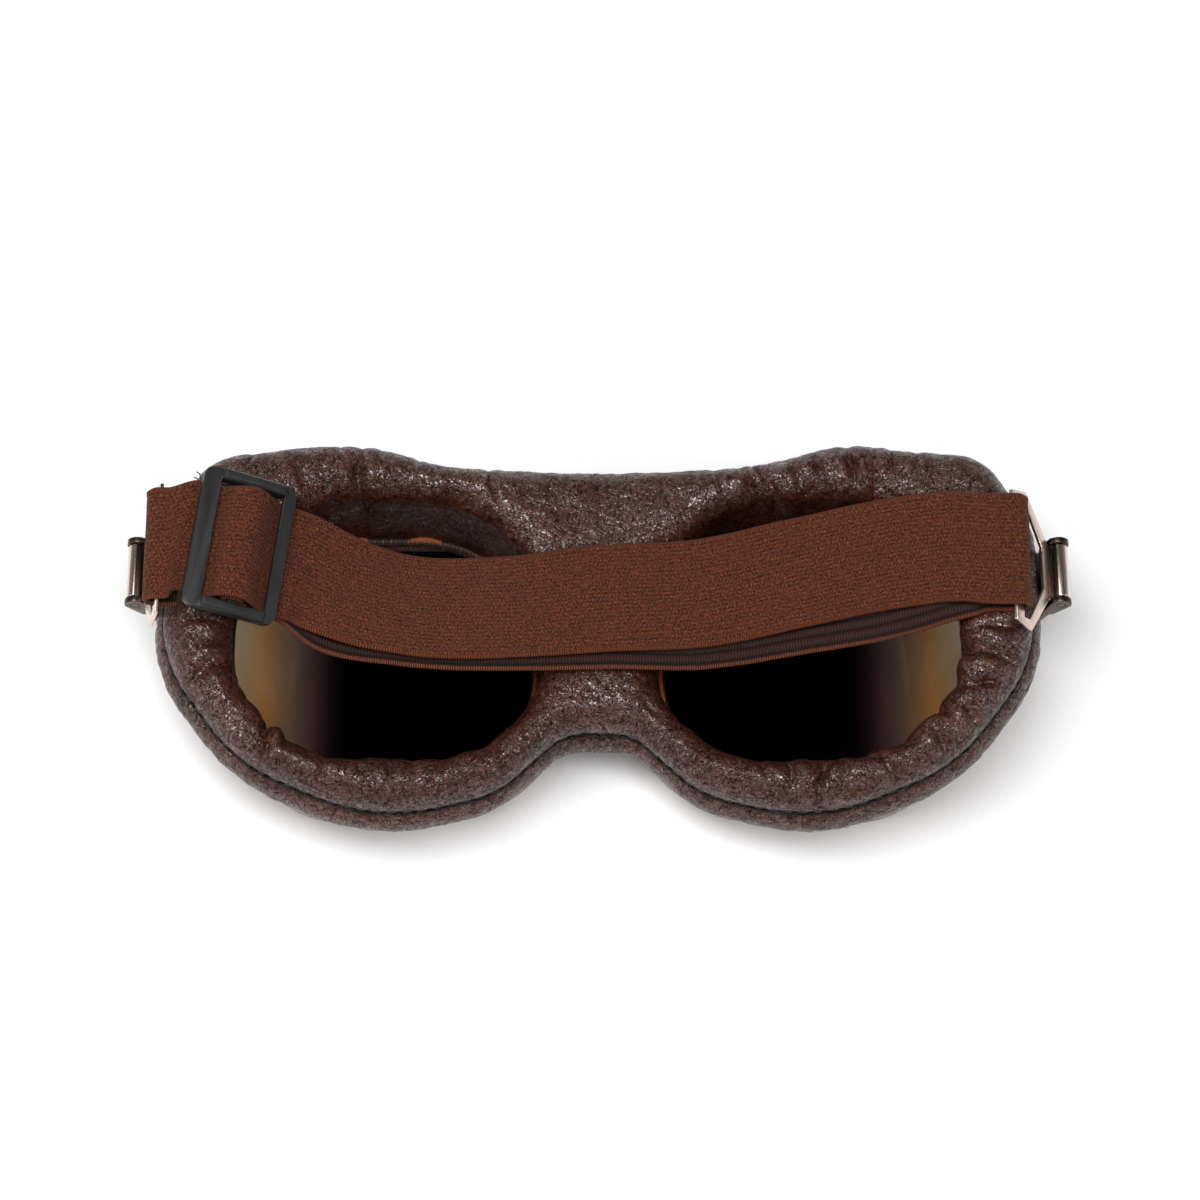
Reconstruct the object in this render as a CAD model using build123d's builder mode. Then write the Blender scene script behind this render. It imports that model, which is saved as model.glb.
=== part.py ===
import math
import os

from build123d import *

# Aviator goggles lying on their rims, lens side down, as their owner puts them on a table.
# +Z points to the face, +Y to the forehead and +X to the wearer's right. The table is at z = 0.

# Eyecups, worked out for the right eye and mirrored
eye_x = 44.0
eye_y = -0.85
opening_half_width = 34.0
opening_half_height = 29.0
opening_corner = 25.0

# Face pad: a leather tube round both eyes, in a plane that rises from the nose to the temples
pad_half_width = 90.0
pad_half_height = 42.5
pad_tilt = 6.5
nose_crown_height = 28.0
pad_opening_x = 42.8
pad_opening_half_width = 32.4
pad_opening_half_height = 28.6
pad_opening_corner = 26.0
# Corners from the notch round the temple to the forehead, as shares of the half width and half height
outline_corner_shares = (
    (0.06, -0.548),
    (0.22, -0.873),
    (0.50, -1.028),
    (0.82, -0.763),
    (1.01, -0.233),
    (1.01, 0.527),
    (0.91, 0.877),
    (0.56, 1.002),
    (0.36, 0.887),
)
outline_round_shares = (0.22, 0.58, 0.95, 0.90, 0.70, 0.58, 0.30, 0.95, 1.40)
crown_outer_round = 3.6
crown_inner_round = 3.1
seam_drop = 7.0
seam_inset = 2.5
bulge_drop = 6.0
skirt_depth = 12.0
skirt_taper = 34.0
leather = 1.4
crown_padding = 2.7
foam_inset = 0.1
welt_height = 0.8
welt_reach = 0.6
binding_width = 1.1
binding_height = 2.0
binding_gap = 0.15

# Rim and what it holds, as depths from the front face along the bent lens
bend_x = 54.0
bend_radius = 22.0
bend_angle = 38.0
lip_depth = 1.2
lens_thickness = 1.8
pad_ring_thickness = 2.6
felt_thickness = 1.0
seat_gap = 0.05
rim_lip = 1.0
rim_pocket = 2.4
rim_wall = 2.0
felt_reach = 1.6

# Nose bridge between the rims
bridge_width = 9.0
bridge_thickness = 1.3
tab_thickness = 1.4
tab_reach = 3.6
tab_height = 3.7
bridge_overlap = 3.2

# Side lugs that the strap hooks turn on
hinge_x = 95.5
hinge_y = 10.55
hinge_z = 31.5
bar_radius = 1.0
hook_width = 11.5
hook_side_gap = 0.25
ear_thickness = 1.2
ear_radius = 2.2
lug_sheet = 1.2
lug_foot_height = 5.0
lug_foot_rise = 15.6
lug_run_share = 0.55
lug_drop = 4.6

# Stamped strap hooks
hook_sheet = 0.8
curl_gap = 0.08
curl_end_angle = 20.0
hook_reach = 13.5
base_bar_width = 2.7
hook_neck = 2.0
hook_corner = 2.2
hook_corner_back = 1.6
hook_leg = 2.2
window_slack = 0.9
window_flat = 2.0
window_neck = 4.4
right_hook_tilt = 50.0
left_hook_tilt = 71.0

# Elastic strap
strap_width = 24.6
strap_thickness = 1.3
fold_gap = 0.15
fold_leg = 2.4
strap_joint_gap = 0.3
strap_fold_shift = 0.75
left_tail = 4.0

# Slider on the strap
slider_x = -73.3
slider_y = 11.75
slider_z = 43.0
slider_yaw = -7.4
slider_tilt = 24.0
slider_length = 20.0
slider_side_rail = 2.3
slider_left_bar = 3.8
slider_right_bar = 2.5
slider_bar_thickness = 1.8
slider_rail_thickness = 3.0
slider_corner = 2.4
slider_edge = 0.5
centre_bar_width = 2.0
centre_bar_thickness = 1.2
slider_strap_slack = 0.7
strap_run_gap = 0.2
sewn_tail = 0.4
weave_overrun = 0.6
strap_lead = 2.5
strap_height = 38.8

# The strap's routes: shares of pad_half_width, opening_half_height and strap_height, then roll
upper_route_shares = (
    (-0.628, 0.268, 0.907, 8),
    (-0.546, 0.171, 0.876, 11),
    (-0.448, 0.106, 0.851, 12),
    (-0.219, 0.071, 0.866, 10),
    (0.0, 0.147, 0.858, 4),
    (0.230, 0.188, 0.846, 3),
    (0.459, 0.333, 0.868, 2),
    (0.689, 0.447, 0.957, 0),
    (0.820, 0.440, 1.050, 0),
)
lower_route_shares = (
    (-0.628, 0.161, 0.832, 10),
    (-0.448, 0.047, 0.790, 12),
    (-0.219, 0.006, 0.812, 10),
    (0.0, 0.040, 0.808, 4),
    (0.230, 0.054, 0.790, 3),
    (0.459, 0.161, 0.800, 2),
    (0.689, 0.264, 0.905, 0),
    (0.820, 0.350, 0.985, 0),
)

# One overrun serves all cuts
overrun = 5.0

# Values that follow from the sizes above
bend_sine = math.sin(math.radians(bend_angle))
bend_cosine = math.cos(math.radians(bend_angle))
lens_front = lip_depth + seat_gap
lens_back = lens_front + lens_thickness
rim_depth = lens_back + seat_gap + pad_ring_thickness
felt_front = rim_depth + seat_gap
felt_back = felt_front + felt_thickness
pad_seat = felt_back + seat_gap
rim_reach = rim_pocket + rim_wall
insert_reach = rim_pocket - seat_gap
curl_inner = bar_radius + curl_gap
curl_outer = curl_inner + hook_sheet
curl_middle = (curl_inner + curl_outer) / 2
ear_inner = hook_width / 2 + hook_side_gap
ear_outer = ear_inner + ear_thickness
window_half_width = strap_width / 2 + window_slack
fold_inner = math.hypot(base_bar_width / 2, hook_sheet / 2) + fold_gap / 2
fold_outer = fold_inner + strap_thickness
fold_middle = (fold_inner + fold_outer) / 2
slider_inner_width = strap_width + 2 * slider_strap_slack
slider_left_slot = -slider_length / 2 + slider_left_bar
slider_right_slot = slider_length / 2 - slider_right_bar
centre_bar_place = (slider_left_slot + slider_right_slot) / 2
sewn_inner = centre_bar_thickness / 2 + strap_run_gap / 2
sewn_outer = sewn_inner + strap_thickness
weave_low = -(slider_bar_thickness / 2 + strap_run_gap + strap_thickness / 2)
weave_high = sewn_outer + strap_run_gap + strap_thickness / 2
rim_end_x = eye_x + opening_half_width + rim_reach
corner_y = eye_y + opening_half_height - opening_corner
lug_foot_x = rim_end_x - opening_corner - rim_reach + math.sqrt(
    (opening_corner + rim_reach) ** 2 - max(hinge_y - corner_y, 0) ** 2
)
slider_place = (slider_x, slider_y, slider_z)
strap_end_y = hinge_y + strap_fold_shift


def bent_height(x, depth):
    """Height of the surface at a depth behind the bent front, level beyond the rim's end."""
    x = min(abs(x), rim_end_x)
    radius = bend_radius - depth
    if x <= bend_x:
        return depth
    if x <= bend_x + radius * bend_sine:
        return bend_radius - math.sqrt(radius**2 - (x - bend_x) ** 2)
    slope = bend_sine / bend_cosine
    return bend_radius - radius * bend_cosine + (x - bend_x - radius * bend_sine) * slope


def pad_level(drop):
    """Plane parallel to the crown, a drop below it."""
    tilt = math.radians(pad_tilt)
    crown = Plane(
        origin=(0, 0, nose_crown_height),
        x_dir=(math.cos(tilt), 0, math.sin(tilt)),
        z_dir=(-math.sin(tilt), 0, math.cos(tilt)),
    )
    return crown.offset(-drop)


def pad_outline(drop, inset):
    """The pad's right half in plan, run on past the nose so that it can be cut there."""
    across = pad_half_width / 4
    corners = [(x * pad_half_width, y * pad_half_height) for x, y in outline_corner_shares]
    rounds = [share * pad_half_height for share in outline_round_shares]
    with BuildSketch(pad_level(drop)) as outline:
        with BuildLine():
            start = (-across, corners[0][1])
            end = (-across, corners[-1][1])
            FilletPolyline(start, *corners, end, radius=rounds)
            Line(end, start)
        make_face()
        if inset != 0:
            offset(amount=-inset)
    return outline.sketch


def pad_hole(reach):
    """Space through the pad behind the right lens, square to the crown and wider by a reach."""
    with BuildPart() as hole:
        with BuildSketch(pad_level(pad_half_height)):
            with Locations((pad_opening_x, eye_y)):
                RectangleRounded(
                    2 * (pad_opening_half_width + reach),
                    2 * (pad_opening_half_height + reach),
                    pad_opening_corner + reach,
                )
        extrude(amount=2 * pad_half_height)
    return hole.part


def skirt_block(inset, start_drop):
    """The pad below its seam: it swells to the bulge and then draws in towards the rim."""
    bulge_level = seam_drop + bulge_drop
    rise = bulge_level - start_drop
    swell = math.degrees(math.atan(seam_inset / bulge_drop))
    with BuildPart() as block:
        extrude(pad_outline(bulge_level, inset), amount=rise, taper=swell)
        extrude(pad_outline(bulge_level, inset), amount=-skirt_depth, taper=skirt_taper)
    return block.part


def above_seat(depth):
    """Everything behind a depth of the bent front."""
    with BuildPart() as space:
        extrude(bent_layer(depth, nose_crown_height + pad_half_height), amount=pad_half_width, both=True)
    return space.part


def both_sides(right_half):
    """Cut a right half at the centre line and join it to its mirror image."""
    with BuildPart() as whole:
        add(right_half)
        split(bisect_by=Plane.YZ, keep=Keep.TOP)
        mirror(about=Plane.YZ)
    return whole.part


def foam_half(inset, depth):
    """What fills the leather on the right: the tube's inside and the skirt's inside."""
    wall = leather + inset
    with BuildPart() as half:
        add(skirt_block(wall, seam_drop))
        extrude(pad_outline(seam_drop, seam_inset + wall), amount=seam_drop - crown_padding - inset)
        add(pad_hole(wall), mode=Mode.SUBTRACT)
        add(above_seat(depth), mode=Mode.INTERSECT)
    return half.part


def face_pad_cover():
    """Leather tube with a rounded crown and an inner wall that runs down to the felt."""
    upward = Axis((0, 0, 0), pad_level(0).z_dir)
    with BuildPart() as half:
        extrude(pad_outline(seam_drop, seam_inset), amount=seam_drop)
        crown = half.faces().sort_by(upward)[-1]
        outer_edges = crown.edges().filter_by(lambda edge: edge.center().X > 0)
        fillet(outer_edges, crown_outer_round)
        add(pad_hole(0), mode=Mode.SUBTRACT)
        hole_edges = half.faces().filter_by(GeomType.PLANE).sort_by(upward)[-1].inner_wires()[0].edges()
        fillet(hole_edges, crown_inner_round)
        with BuildPart(mode=Mode.PRIVATE) as wall:
            add(pad_hole(leather))
            extrude(pad_outline(seam_drop, -overrun), amount=2 * pad_half_height, mode=Mode.SUBTRACT)
            add(pad_hole(0), mode=Mode.SUBTRACT)
            add(above_seat(pad_seat), mode=Mode.INTERSECT)
        add(wall.part)
        add(foam_half(0, pad_seat), mode=Mode.SUBTRACT)
    return both_sides(half.part)


def side_skirt():
    """Leather wall below the seam, with a floor round the rim."""
    with BuildPart() as half:
        add(skirt_block(0, seam_drop + welt_height))
        add(pad_hole(leather + seat_gap), mode=Mode.SUBTRACT)
        add(foam_half(0, pad_seat + leather), mode=Mode.SUBTRACT)
        add(above_seat(pad_seat), mode=Mode.INTERSECT)
    return both_sides(half.part)


def seam_welt():
    """Strip sewn between tube and skirt, standing out a little."""
    drop = seam_drop + welt_height - seat_gap
    height = welt_height - 2 * seat_gap
    with BuildPart() as half:
        extrude(pad_outline(drop, seam_inset - welt_reach), amount=height)
        extrude(pad_outline(drop, seam_inset + leather / 2), amount=height, mode=Mode.SUBTRACT)
    return both_sides(half.part)


def edge_binding():
    """Sewn band along the foot of the tube's inner wall."""
    band = bent_layer(pad_seat, pad_seat + binding_height)
    with BuildPart() as ring:
        extrude(band, amount=pad_half_width, both=True)
        add(pad_hole(-binding_gap), mode=Mode.INTERSECT)
        add(pad_hole(-binding_gap - binding_width), mode=Mode.SUBTRACT)
    return ring.part


def bent_layer(front, back):
    """Profile between two depths behind the bent front, in the plane of x and z."""
    end_x = pad_half_width + overrun

    def bent_edge(depth):
        radius = bend_radius - depth
        start = (-overrun, depth)
        bend_start = (bend_x, depth)
        bend_end = (bend_x + radius * bend_sine, bend_radius - radius * bend_cosine)
        rim_end = (rim_end_x, bent_height(rim_end_x, depth))
        end = (end_x, bent_height(end_x, depth))
        return start, bend_start, bend_end, rim_end, end

    if back < bend_radius:
        back_points = bent_edge(back)
    else:
        back_points = ((-overrun, back), (end_x, back))
    with BuildSketch(Plane.XZ) as profile:
        with BuildLine():
            start, bend_start, bend_end, rim_end, end = bent_edge(front)
            Line(start, bend_start)
            TangentArc(bend_start, bend_end, tangent=(1, 0))
            Polyline(bend_end, rim_end, end, back_points[-1])
            if len(back_points) == 2:
                Line(*back_points)
            else:
                back_start, back_bend_start, back_bend_end, back_rim_end, back_end = back_points
                Polyline(back_end, back_rim_end, back_bend_end)
                TangentArc(back_bend_start, back_bend_end, tangent=(1, 0))
                Line(back_start, back_bend_start)
            Line(back_points[0], start)
        make_face()
    return profile.sketch


def eye_outline(reach, height=0):
    """Closed outline at a constant reach beyond the opening's edge."""
    with BuildSketch(Plane.XY.offset(height)) as outline:
        with Locations((eye_x, eye_y)):
            RectangleRounded(
                2 * (opening_half_width + reach), 2 * (opening_half_height + reach), opening_corner + reach
            )
    return outline.sketch


def bent_plate(reach, front, back):
    """Plate of the eye's outline between two depths of the bent front."""
    with BuildPart() as plate:
        extrude(eye_outline(reach, -overrun), amount=pad_half_height)
        extrude(bent_layer(front, back), amount=pad_half_width, both=True, mode=Mode.INTERSECT)
    return plate.part


def bent_ring(outer_reach, inner_reach, front, back):
    """Ring between two reaches of the eye's outline and two depths of the bent front."""
    with BuildPart() as ring:
        extrude(eye_outline(outer_reach), amount=pad_half_height)
        extrude(eye_outline(inner_reach), amount=pad_half_height, mode=Mode.SUBTRACT)
        extrude(bent_layer(front, back), amount=pad_half_width, both=True, mode=Mode.INTERSECT)
    return ring.part


def nose_tab_end():
    """Distance from the centre line to the free end of a rim's bridge tab."""
    return eye_x - opening_half_width - rim_reach - tab_reach


def rim():
    """Metal rim with a front lip, a pocket for the lens and a bridge tab."""
    tab_length = tab_reach + rim_wall / 2
    with BuildPart() as piece:
        add(bent_ring(rim_reach, -rim_lip, 0, rim_depth))
        add(bent_plate(rim_pocket, lip_depth, rim_depth + overrun), mode=Mode.SUBTRACT)
        with BuildSketch(Plane.XY.offset(tab_height)):
            with Locations((nose_tab_end() + tab_length / 2, eye_y)):
                Rectangle(tab_length, bridge_width)
        extrude(amount=tab_thickness)
    return piece.part


def bridge():
    """Plate in front of the two tabs."""
    with BuildPart() as piece:
        with BuildSketch(Plane.XY.offset(tab_height - seat_gap)):
            with Locations((0, eye_y)):
                RectangleRounded(2 * (nose_tab_end() + bridge_overlap), bridge_width, bridge_width / 4)
        extrude(amount=-bridge_thickness)
    return piece.part


def lug():
    """Bracket bent from sheet: a foot against the rim, a run under the pad and two ears."""
    run_height = lug_foot_rise + lug_sheet / 2
    turn_x = lug_foot_x + (hinge_x - lug_foot_x) * lug_run_share
    ear_foot = (hinge_x - ear_radius, hinge_z - lug_drop)
    inside = eye_outline(rim_reach + seat_gap)
    with BuildPart() as piece:
        extrude(eye_outline(rim_reach + seat_gap + lug_sheet, lug_foot_rise), amount=lug_foot_height)
        with BuildSketch(Plane.XY.offset(lug_foot_rise)):
            with Locations((lug_foot_x, hinge_y)):
                Rectangle(2 * opening_half_width, 2 * ear_outer)
        extrude(amount=lug_foot_height, mode=Mode.INTERSECT)
        with BuildSketch(Plane.XZ.offset(-hinge_y)):
            with BuildLine():
                FilletPolyline((eye_x, run_height), (turn_x, run_height), ear_foot, radius=2 * lug_sheet)
            trace(line_width=lug_sheet)
        extrude(amount=ear_outer, both=True)
        extrude(inside, amount=pad_half_height, mode=Mode.SUBTRACT)
        for ear_start in (hinge_y - ear_outer, hinge_y + ear_inner):
            with BuildSketch(Plane.XZ.offset(-ear_start)):
                with Locations((hinge_x, hinge_z)):
                    Circle(ear_radius)
                with Locations(ear_foot):
                    Rectangle(2 * lug_sheet, lug_sheet)
                make_hull()
                with Locations((hinge_x, hinge_z)):
                    Circle(bar_radius + seat_gap, mode=Mode.SUBTRACT)
            extrude(amount=-ear_thickness)
    return piece.part


def hook_bar():
    """Cross-bar between the lug's ears."""
    with BuildPart() as piece:
        with BuildSketch(Plane.XZ.offset(-hinge_y)):
            with Locations((hinge_x, hinge_z)):
                Circle(bar_radius)
        extrude(amount=ear_outer, both=True)
    return piece.part


def hook_directions(side, tilt):
    """Directions along a hook, from its bar to the strap, and square to its sheet."""
    angle = math.radians(tilt)
    along = Vector(-side * math.cos(angle), 0, math.sin(angle))
    square = Vector(side * math.sin(angle), 0, math.cos(angle))
    return along, square


def mirrored_outline(half):
    """Close half an outline with its mirror image across the hook's centre line."""
    return half + [(x, -y) for x, y in reversed(half)]


def strap_hook(side, tilt):
    """Flat triangle with pointed corners and a strap window, its tip curled round the bar."""
    along, square = hook_directions(side, tilt)
    origin = (side * hinge_x, hinge_y, hinge_z)
    sheet_plane = Plane(origin=origin, x_dir=along, z_dir=square).offset(-curl_outer)
    curl_plane = Plane(origin=origin, x_dir=along, z_dir=(0, side, 0))
    half_neck = hook_width / 2
    bar_start = hook_reach - base_bar_width / 2
    bar_end = hook_reach + base_bar_width / 2
    corner_place = bar_start - window_flat / 2 - hook_corner_back
    outline = mirrored_outline([
        (0, half_neck),
        (hook_neck, half_neck),
        (corner_place, window_half_width + hook_corner),
        (bar_end, window_half_width + hook_corner / 2),
    ])
    window = mirrored_outline([
        (window_neck, half_neck - hook_leg / 2),
        (bar_start - window_flat, window_half_width),
        (bar_start, window_half_width),
    ])
    with BuildPart() as piece:
        with BuildSketch(sheet_plane):
            with BuildLine():
                Polyline(*outline, close=True)
            make_face()
            with BuildLine():
                Polyline(*window, close=True)
            make_face(mode=Mode.SUBTRACT)
        extrude(amount=hook_sheet)
        with BuildSketch(curl_plane):
            with BuildLine():
                CenterArc((0, 0), curl_middle, curl_end_angle, 270 - curl_end_angle)
            trace(line_width=hook_sheet)
        extrude(amount=half_neck, both=True)
    return piece.part


def base_bar_centre(side, tilt):
    along, square = hook_directions(side, tilt)
    return Vector(side * hinge_x, hinge_y, hinge_z) + along * hook_reach - square * curl_middle


def strap_fold(side, tilt, lower_leg):
    """The strap's turn round a hook's base bar, with its two legs towards the other side."""
    centre = base_bar_centre(side, tilt)
    upper = centre.Z + fold_middle
    lower = centre.Z - fold_middle
    with BuildPart() as piece:
        with BuildSketch(Plane.XZ.offset(-strap_end_y)):
            with BuildLine():
                Line((centre.X - side * fold_leg, upper), (centre.X, upper))
                ThreePointArc((centre.X, upper), (centre.X + side * fold_middle, centre.Z), (centre.X, lower))
                Line((centre.X, lower), (centre.X - side * lower_leg, lower))
            trace(line_width=strap_thickness)
        extrude(amount=strap_width / 2, both=True)
    return piece.part


def slider_directions():
    """Directions along the strap and square to the slider's frame."""
    yaw = math.radians(slider_yaw)
    tilt = math.radians(slider_tilt)
    along = Vector(math.cos(tilt) * math.cos(yaw), math.cos(tilt) * math.sin(yaw), -math.sin(tilt))
    square = Vector(math.sin(tilt) * math.cos(yaw), math.sin(tilt) * math.sin(yaw), math.cos(tilt))
    return along, square


def slider_frame():
    """Moulded frame with two outer bars, a thin centre bar and deeper side rails."""
    along, square = slider_directions()
    plane = Plane(origin=slider_place, x_dir=along, z_dir=square)
    rail_place = slider_inner_width / 2 + slider_side_rail / 2
    slot_length = slider_right_slot - slider_left_slot
    with BuildPart() as piece:
        with BuildSketch(plane.offset(-slider_bar_thickness / 2)):
            RectangleRounded(slider_length, slider_inner_width + 2 * slider_side_rail, slider_corner)
            with Locations((centre_bar_place, 0)):
                Rectangle(slot_length, slider_inner_width, mode=Mode.SUBTRACT)
        extrude(amount=slider_bar_thickness)
        with BuildSketch(plane.offset(-slider_bar_thickness / 2)):
            with Locations((centre_bar_place, -rail_place), (centre_bar_place, rail_place)):
                Rectangle(slot_length, slider_side_rail)
        rails = extrude(amount=slider_rail_thickness)
        chamfer(piece.faces().sort_by(Axis(plane.origin, square))[-2:].edges(), slider_edge)
        with BuildSketch(plane.offset(-centre_bar_thickness / 2)):
            with Locations((centre_bar_place, 0)):
                Rectangle(centre_bar_width, slider_inner_width + slider_side_rail)
        extrude(amount=centre_bar_thickness)
    return piece.part


def slider_side_plane():
    """Plane of the slider's length and height, through its middle."""
    along, square = slider_directions()
    return Plane(origin=slider_place, x_dir=along, z_dir=along.cross(square))


def on_slider(along, square):
    """A place given along the slider and square to it, in the part's own frame."""
    length_direction, square_direction = slider_directions()
    return Vector(*slider_place) + length_direction * along + square_direction * square


def sewn_loop():
    """The strap's end, sewn round the slider's centre bar."""
    inner_length = centre_bar_width + strap_run_gap
    outer_length = inner_length + 2 * strap_thickness
    tail_length = outer_length / 2 + sewn_tail
    with BuildPart() as piece:
        with BuildSketch(slider_side_plane()):
            with Locations((centre_bar_place, 0)):
                RectangleRounded(outer_length, 2 * sewn_outer, strap_thickness)
            with Locations((centre_bar_place + tail_length / 2, -(sewn_inner + sewn_outer) / 2)):
                Rectangle(tail_length, strap_thickness)
            with Locations((centre_bar_place, 0)):
                Rectangle(inner_length, 2 * sewn_inner, mode=Mode.SUBTRACT)
        extrude(amount=strap_width / 2, both=True)
    return piece.part


def strap_run(stations, start_direction, end_direction):
    """Loft a run of strap along a smooth curve through places, each with its roll about the run."""
    places = [place for place, roll in stations]
    rolls = [roll for place, roll in stations]
    path = Spline(*places, mode=Mode.PRIVATE)
    marks = [path.param_at_point(place) for place in places]
    section_marks = [marks[0]]
    for start, end in zip(marks, marks[1:]):
        if (end - start) * path.length > strap_width / 4:
            section_marks.append((start + end) / 2)
        section_marks.append(end)
    sections = []
    for mark in section_marks:
        tangent = path % mark
        if mark == marks[0]:
            tangent = start_direction
        if mark == marks[-1]:
            tangent = end_direction
        across = Vector(0, 1, 0)
        across = (across - tangent * across.dot(tangent)).normalized()
        across = across.rotate(Axis((0, 0, 0), tangent), roll_at(mark, marks, rolls))
        with BuildSketch(Plane(origin=path @ mark, x_dir=across, z_dir=tangent)) as section:
            Rectangle(strap_width, strap_thickness)
        sections.append(section.sketch.face())
    loft(sections, ruled=True)


def roll_at(mark, marks, rolls):
    """Roll at a mark along the path, in between those of its places."""
    for start, end, first, second in zip(marks, marks[1:], rolls, rolls[1:]):
        if mark <= end:
            return first + (second - first) * (mark - start) / (end - start)
    return rolls[-1]


def route(shares):
    """Places along the strap, from shares of the pad's width, the opening and the crown."""
    places = []
    for x_share, y_share, z_share, roll in shares:
        place = Vector(x_share * pad_half_width, y_share * opening_half_height, z_share * strap_height)
        places.append((place, roll))
    return places


def strap_weave():
    """The strap's way through the slider: under, over and under its bars."""
    reach = slider_length / 2 + weave_overrun
    ramp = strap_run_gap + strap_thickness / 2
    top_half = centre_bar_width / 2 + strap_thickness
    with BuildPart() as piece:
        with BuildSketch(slider_side_plane()):
            with BuildLine():
                FilletPolyline(
                    (-reach, weave_low),
                    (slider_left_slot + ramp, weave_low),
                    (centre_bar_place - top_half, weave_high),
                    (centre_bar_place + top_half, weave_high),
                    (slider_right_slot - ramp, weave_low),
                    (reach, weave_low),
                    radius=strap_thickness,
                )
            trace(line_width=strap_thickness)
        extrude(amount=strap_width / 2, both=True)
    return piece.part


def fold_end(side, tilt, level):
    """Where a run of strap meets the end of a fold's leg, above or below the base bar."""
    centre = base_bar_centre(side, tilt)
    return Vector(centre.X - side * (fold_leg + strap_joint_gap), strap_end_y, centre.Z + level)


def strap_hook_run():
    """The short run from the left hook's fold to the slider."""
    along, square = slider_directions()
    start = fold_end(-1, left_hook_tilt, fold_middle)
    end = on_slider(-slider_length / 2 - weave_overrun - strap_joint_gap, weave_low)
    across = Vector(0, 1, 0)
    with BuildPart() as piece:
        with BuildSketch(Plane(origin=start, x_dir=across, z_dir=(1, 0, 0))):
            Rectangle(strap_width, strap_thickness)
        with BuildSketch(Plane(origin=end, x_dir=across - along * across.dot(along), z_dir=along)):
            Rectangle(strap_width, strap_thickness)
        loft(ruled=True)
    return piece.part


def strap_upper():
    """The strap's outer layer, from the slider across the back to the right hook's fold."""
    along, square = slider_directions()
    start = on_slider(slider_length / 2 + weave_overrun + strap_joint_gap, weave_low)
    end = fold_end(1, right_hook_tilt, fold_middle)
    level = Vector(1, 0, 0)
    stations = [(start, 0), (start + along * strap_lead, 0)]
    stations += route(upper_route_shares)
    stations += [(end - level * strap_lead, 0), (end, 0)]
    with BuildPart() as piece:
        strap_run(stations, along, level)
    return piece.part


def strap_lower():
    """The strap's inner layer, from the right hook's fold back to the sewn loop."""
    along, square = slider_directions()
    loop_end = centre_bar_place + centre_bar_width / 2 + strap_run_gap + strap_thickness + sewn_tail
    under = weave_low - strap_thickness - 2 * strap_run_gap
    start = on_slider(loop_end + strap_joint_gap, -(sewn_inner + sewn_outer) / 2)
    turn = on_slider(loop_end + strap_joint_gap + strap_thickness / 2, under)
    clear = on_slider(slider_length / 2 + weave_overrun, under)
    end = fold_end(1, right_hook_tilt, -fold_middle)
    level = Vector(1, 0, 0)
    stations = [(start, 0), (turn, 0), (clear, 0)]
    stations += route(lower_route_shares)
    stations += [(end - level * strap_lead, 0), (end, 0)]
    with BuildPart() as piece:
        strap_run(stations, along, level)
    return piece.part


def to_left(right_part):
    """The left twin of a piece made on the right."""
    with BuildPart() as twin:
        add(mirror(right_part, about=Plane.YZ, mode=Mode.PRIVATE))
    return twin.part


def save(finished, name):
    finished.label = name
    export_step(finished, f"parts/{name}.step")


def save_pair(right_part, name):
    save(to_left(right_part), f"left_{name}")
    save(right_part, f"right_{name}")


os.makedirs("parts", exist_ok=True)

save(face_pad_cover(), "face_pad_cover")
save(side_skirt(), "side_skirt")
save(both_sides(foam_half(foam_inset, pad_seat + leather + foam_inset)), "foam_core")
save(seam_welt(), "seam_welt")
save_pair(edge_binding(), "edge_binding")
save_pair(bent_ring(insert_reach, -felt_reach, felt_front, felt_back), "felt_ring")
save_pair(bent_ring(insert_reach, -rim_lip, lens_back + seat_gap, rim_depth), "pad_ring")
save_pair(bent_plate(insert_reach, lens_front, lens_back), "lens")
save_pair(rim(), "rim")
save(bridge(), "nose_bridge")
save_pair(lug(), "side_lug")
save_pair(hook_bar(), "hook_bar")
save(strap_hook(1, right_hook_tilt), "right_strap_hook")
save(strap_hook(-1, left_hook_tilt), "left_strap_hook")
save(strap_fold(1, right_hook_tilt, fold_leg), "strap_right_fold")
save(strap_fold(-1, left_hook_tilt, left_tail), "strap_left_fold")
save(slider_frame(), "slider")
save(sewn_loop(), "strap_sewn_loop")
save(strap_weave(), "strap_weave")
save(strap_hook_run(), "strap_hook_run")
save(strap_upper(), "strap_upper_layer")
save(strap_lower(), "strap_lower_layer")
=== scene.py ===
import math
import random
from functools import partial

import bpy
import bmesh
from mathutils import Matrix, Vector, kdtree, noise


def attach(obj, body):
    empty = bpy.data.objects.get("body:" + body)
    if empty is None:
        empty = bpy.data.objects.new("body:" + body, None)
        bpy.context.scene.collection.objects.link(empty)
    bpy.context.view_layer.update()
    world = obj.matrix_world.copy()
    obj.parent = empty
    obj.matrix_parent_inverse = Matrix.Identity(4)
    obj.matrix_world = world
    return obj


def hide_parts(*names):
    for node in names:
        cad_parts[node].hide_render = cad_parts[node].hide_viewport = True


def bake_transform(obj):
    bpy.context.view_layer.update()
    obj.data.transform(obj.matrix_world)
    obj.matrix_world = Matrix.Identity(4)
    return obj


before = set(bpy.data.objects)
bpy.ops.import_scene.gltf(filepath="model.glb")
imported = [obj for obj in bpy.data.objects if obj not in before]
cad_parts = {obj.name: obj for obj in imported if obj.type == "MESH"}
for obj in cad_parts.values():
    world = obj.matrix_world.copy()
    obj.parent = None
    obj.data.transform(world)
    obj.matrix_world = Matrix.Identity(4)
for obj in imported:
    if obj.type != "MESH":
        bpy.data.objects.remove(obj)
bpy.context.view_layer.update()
print("frame loaded")

mm = 0.001

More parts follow.
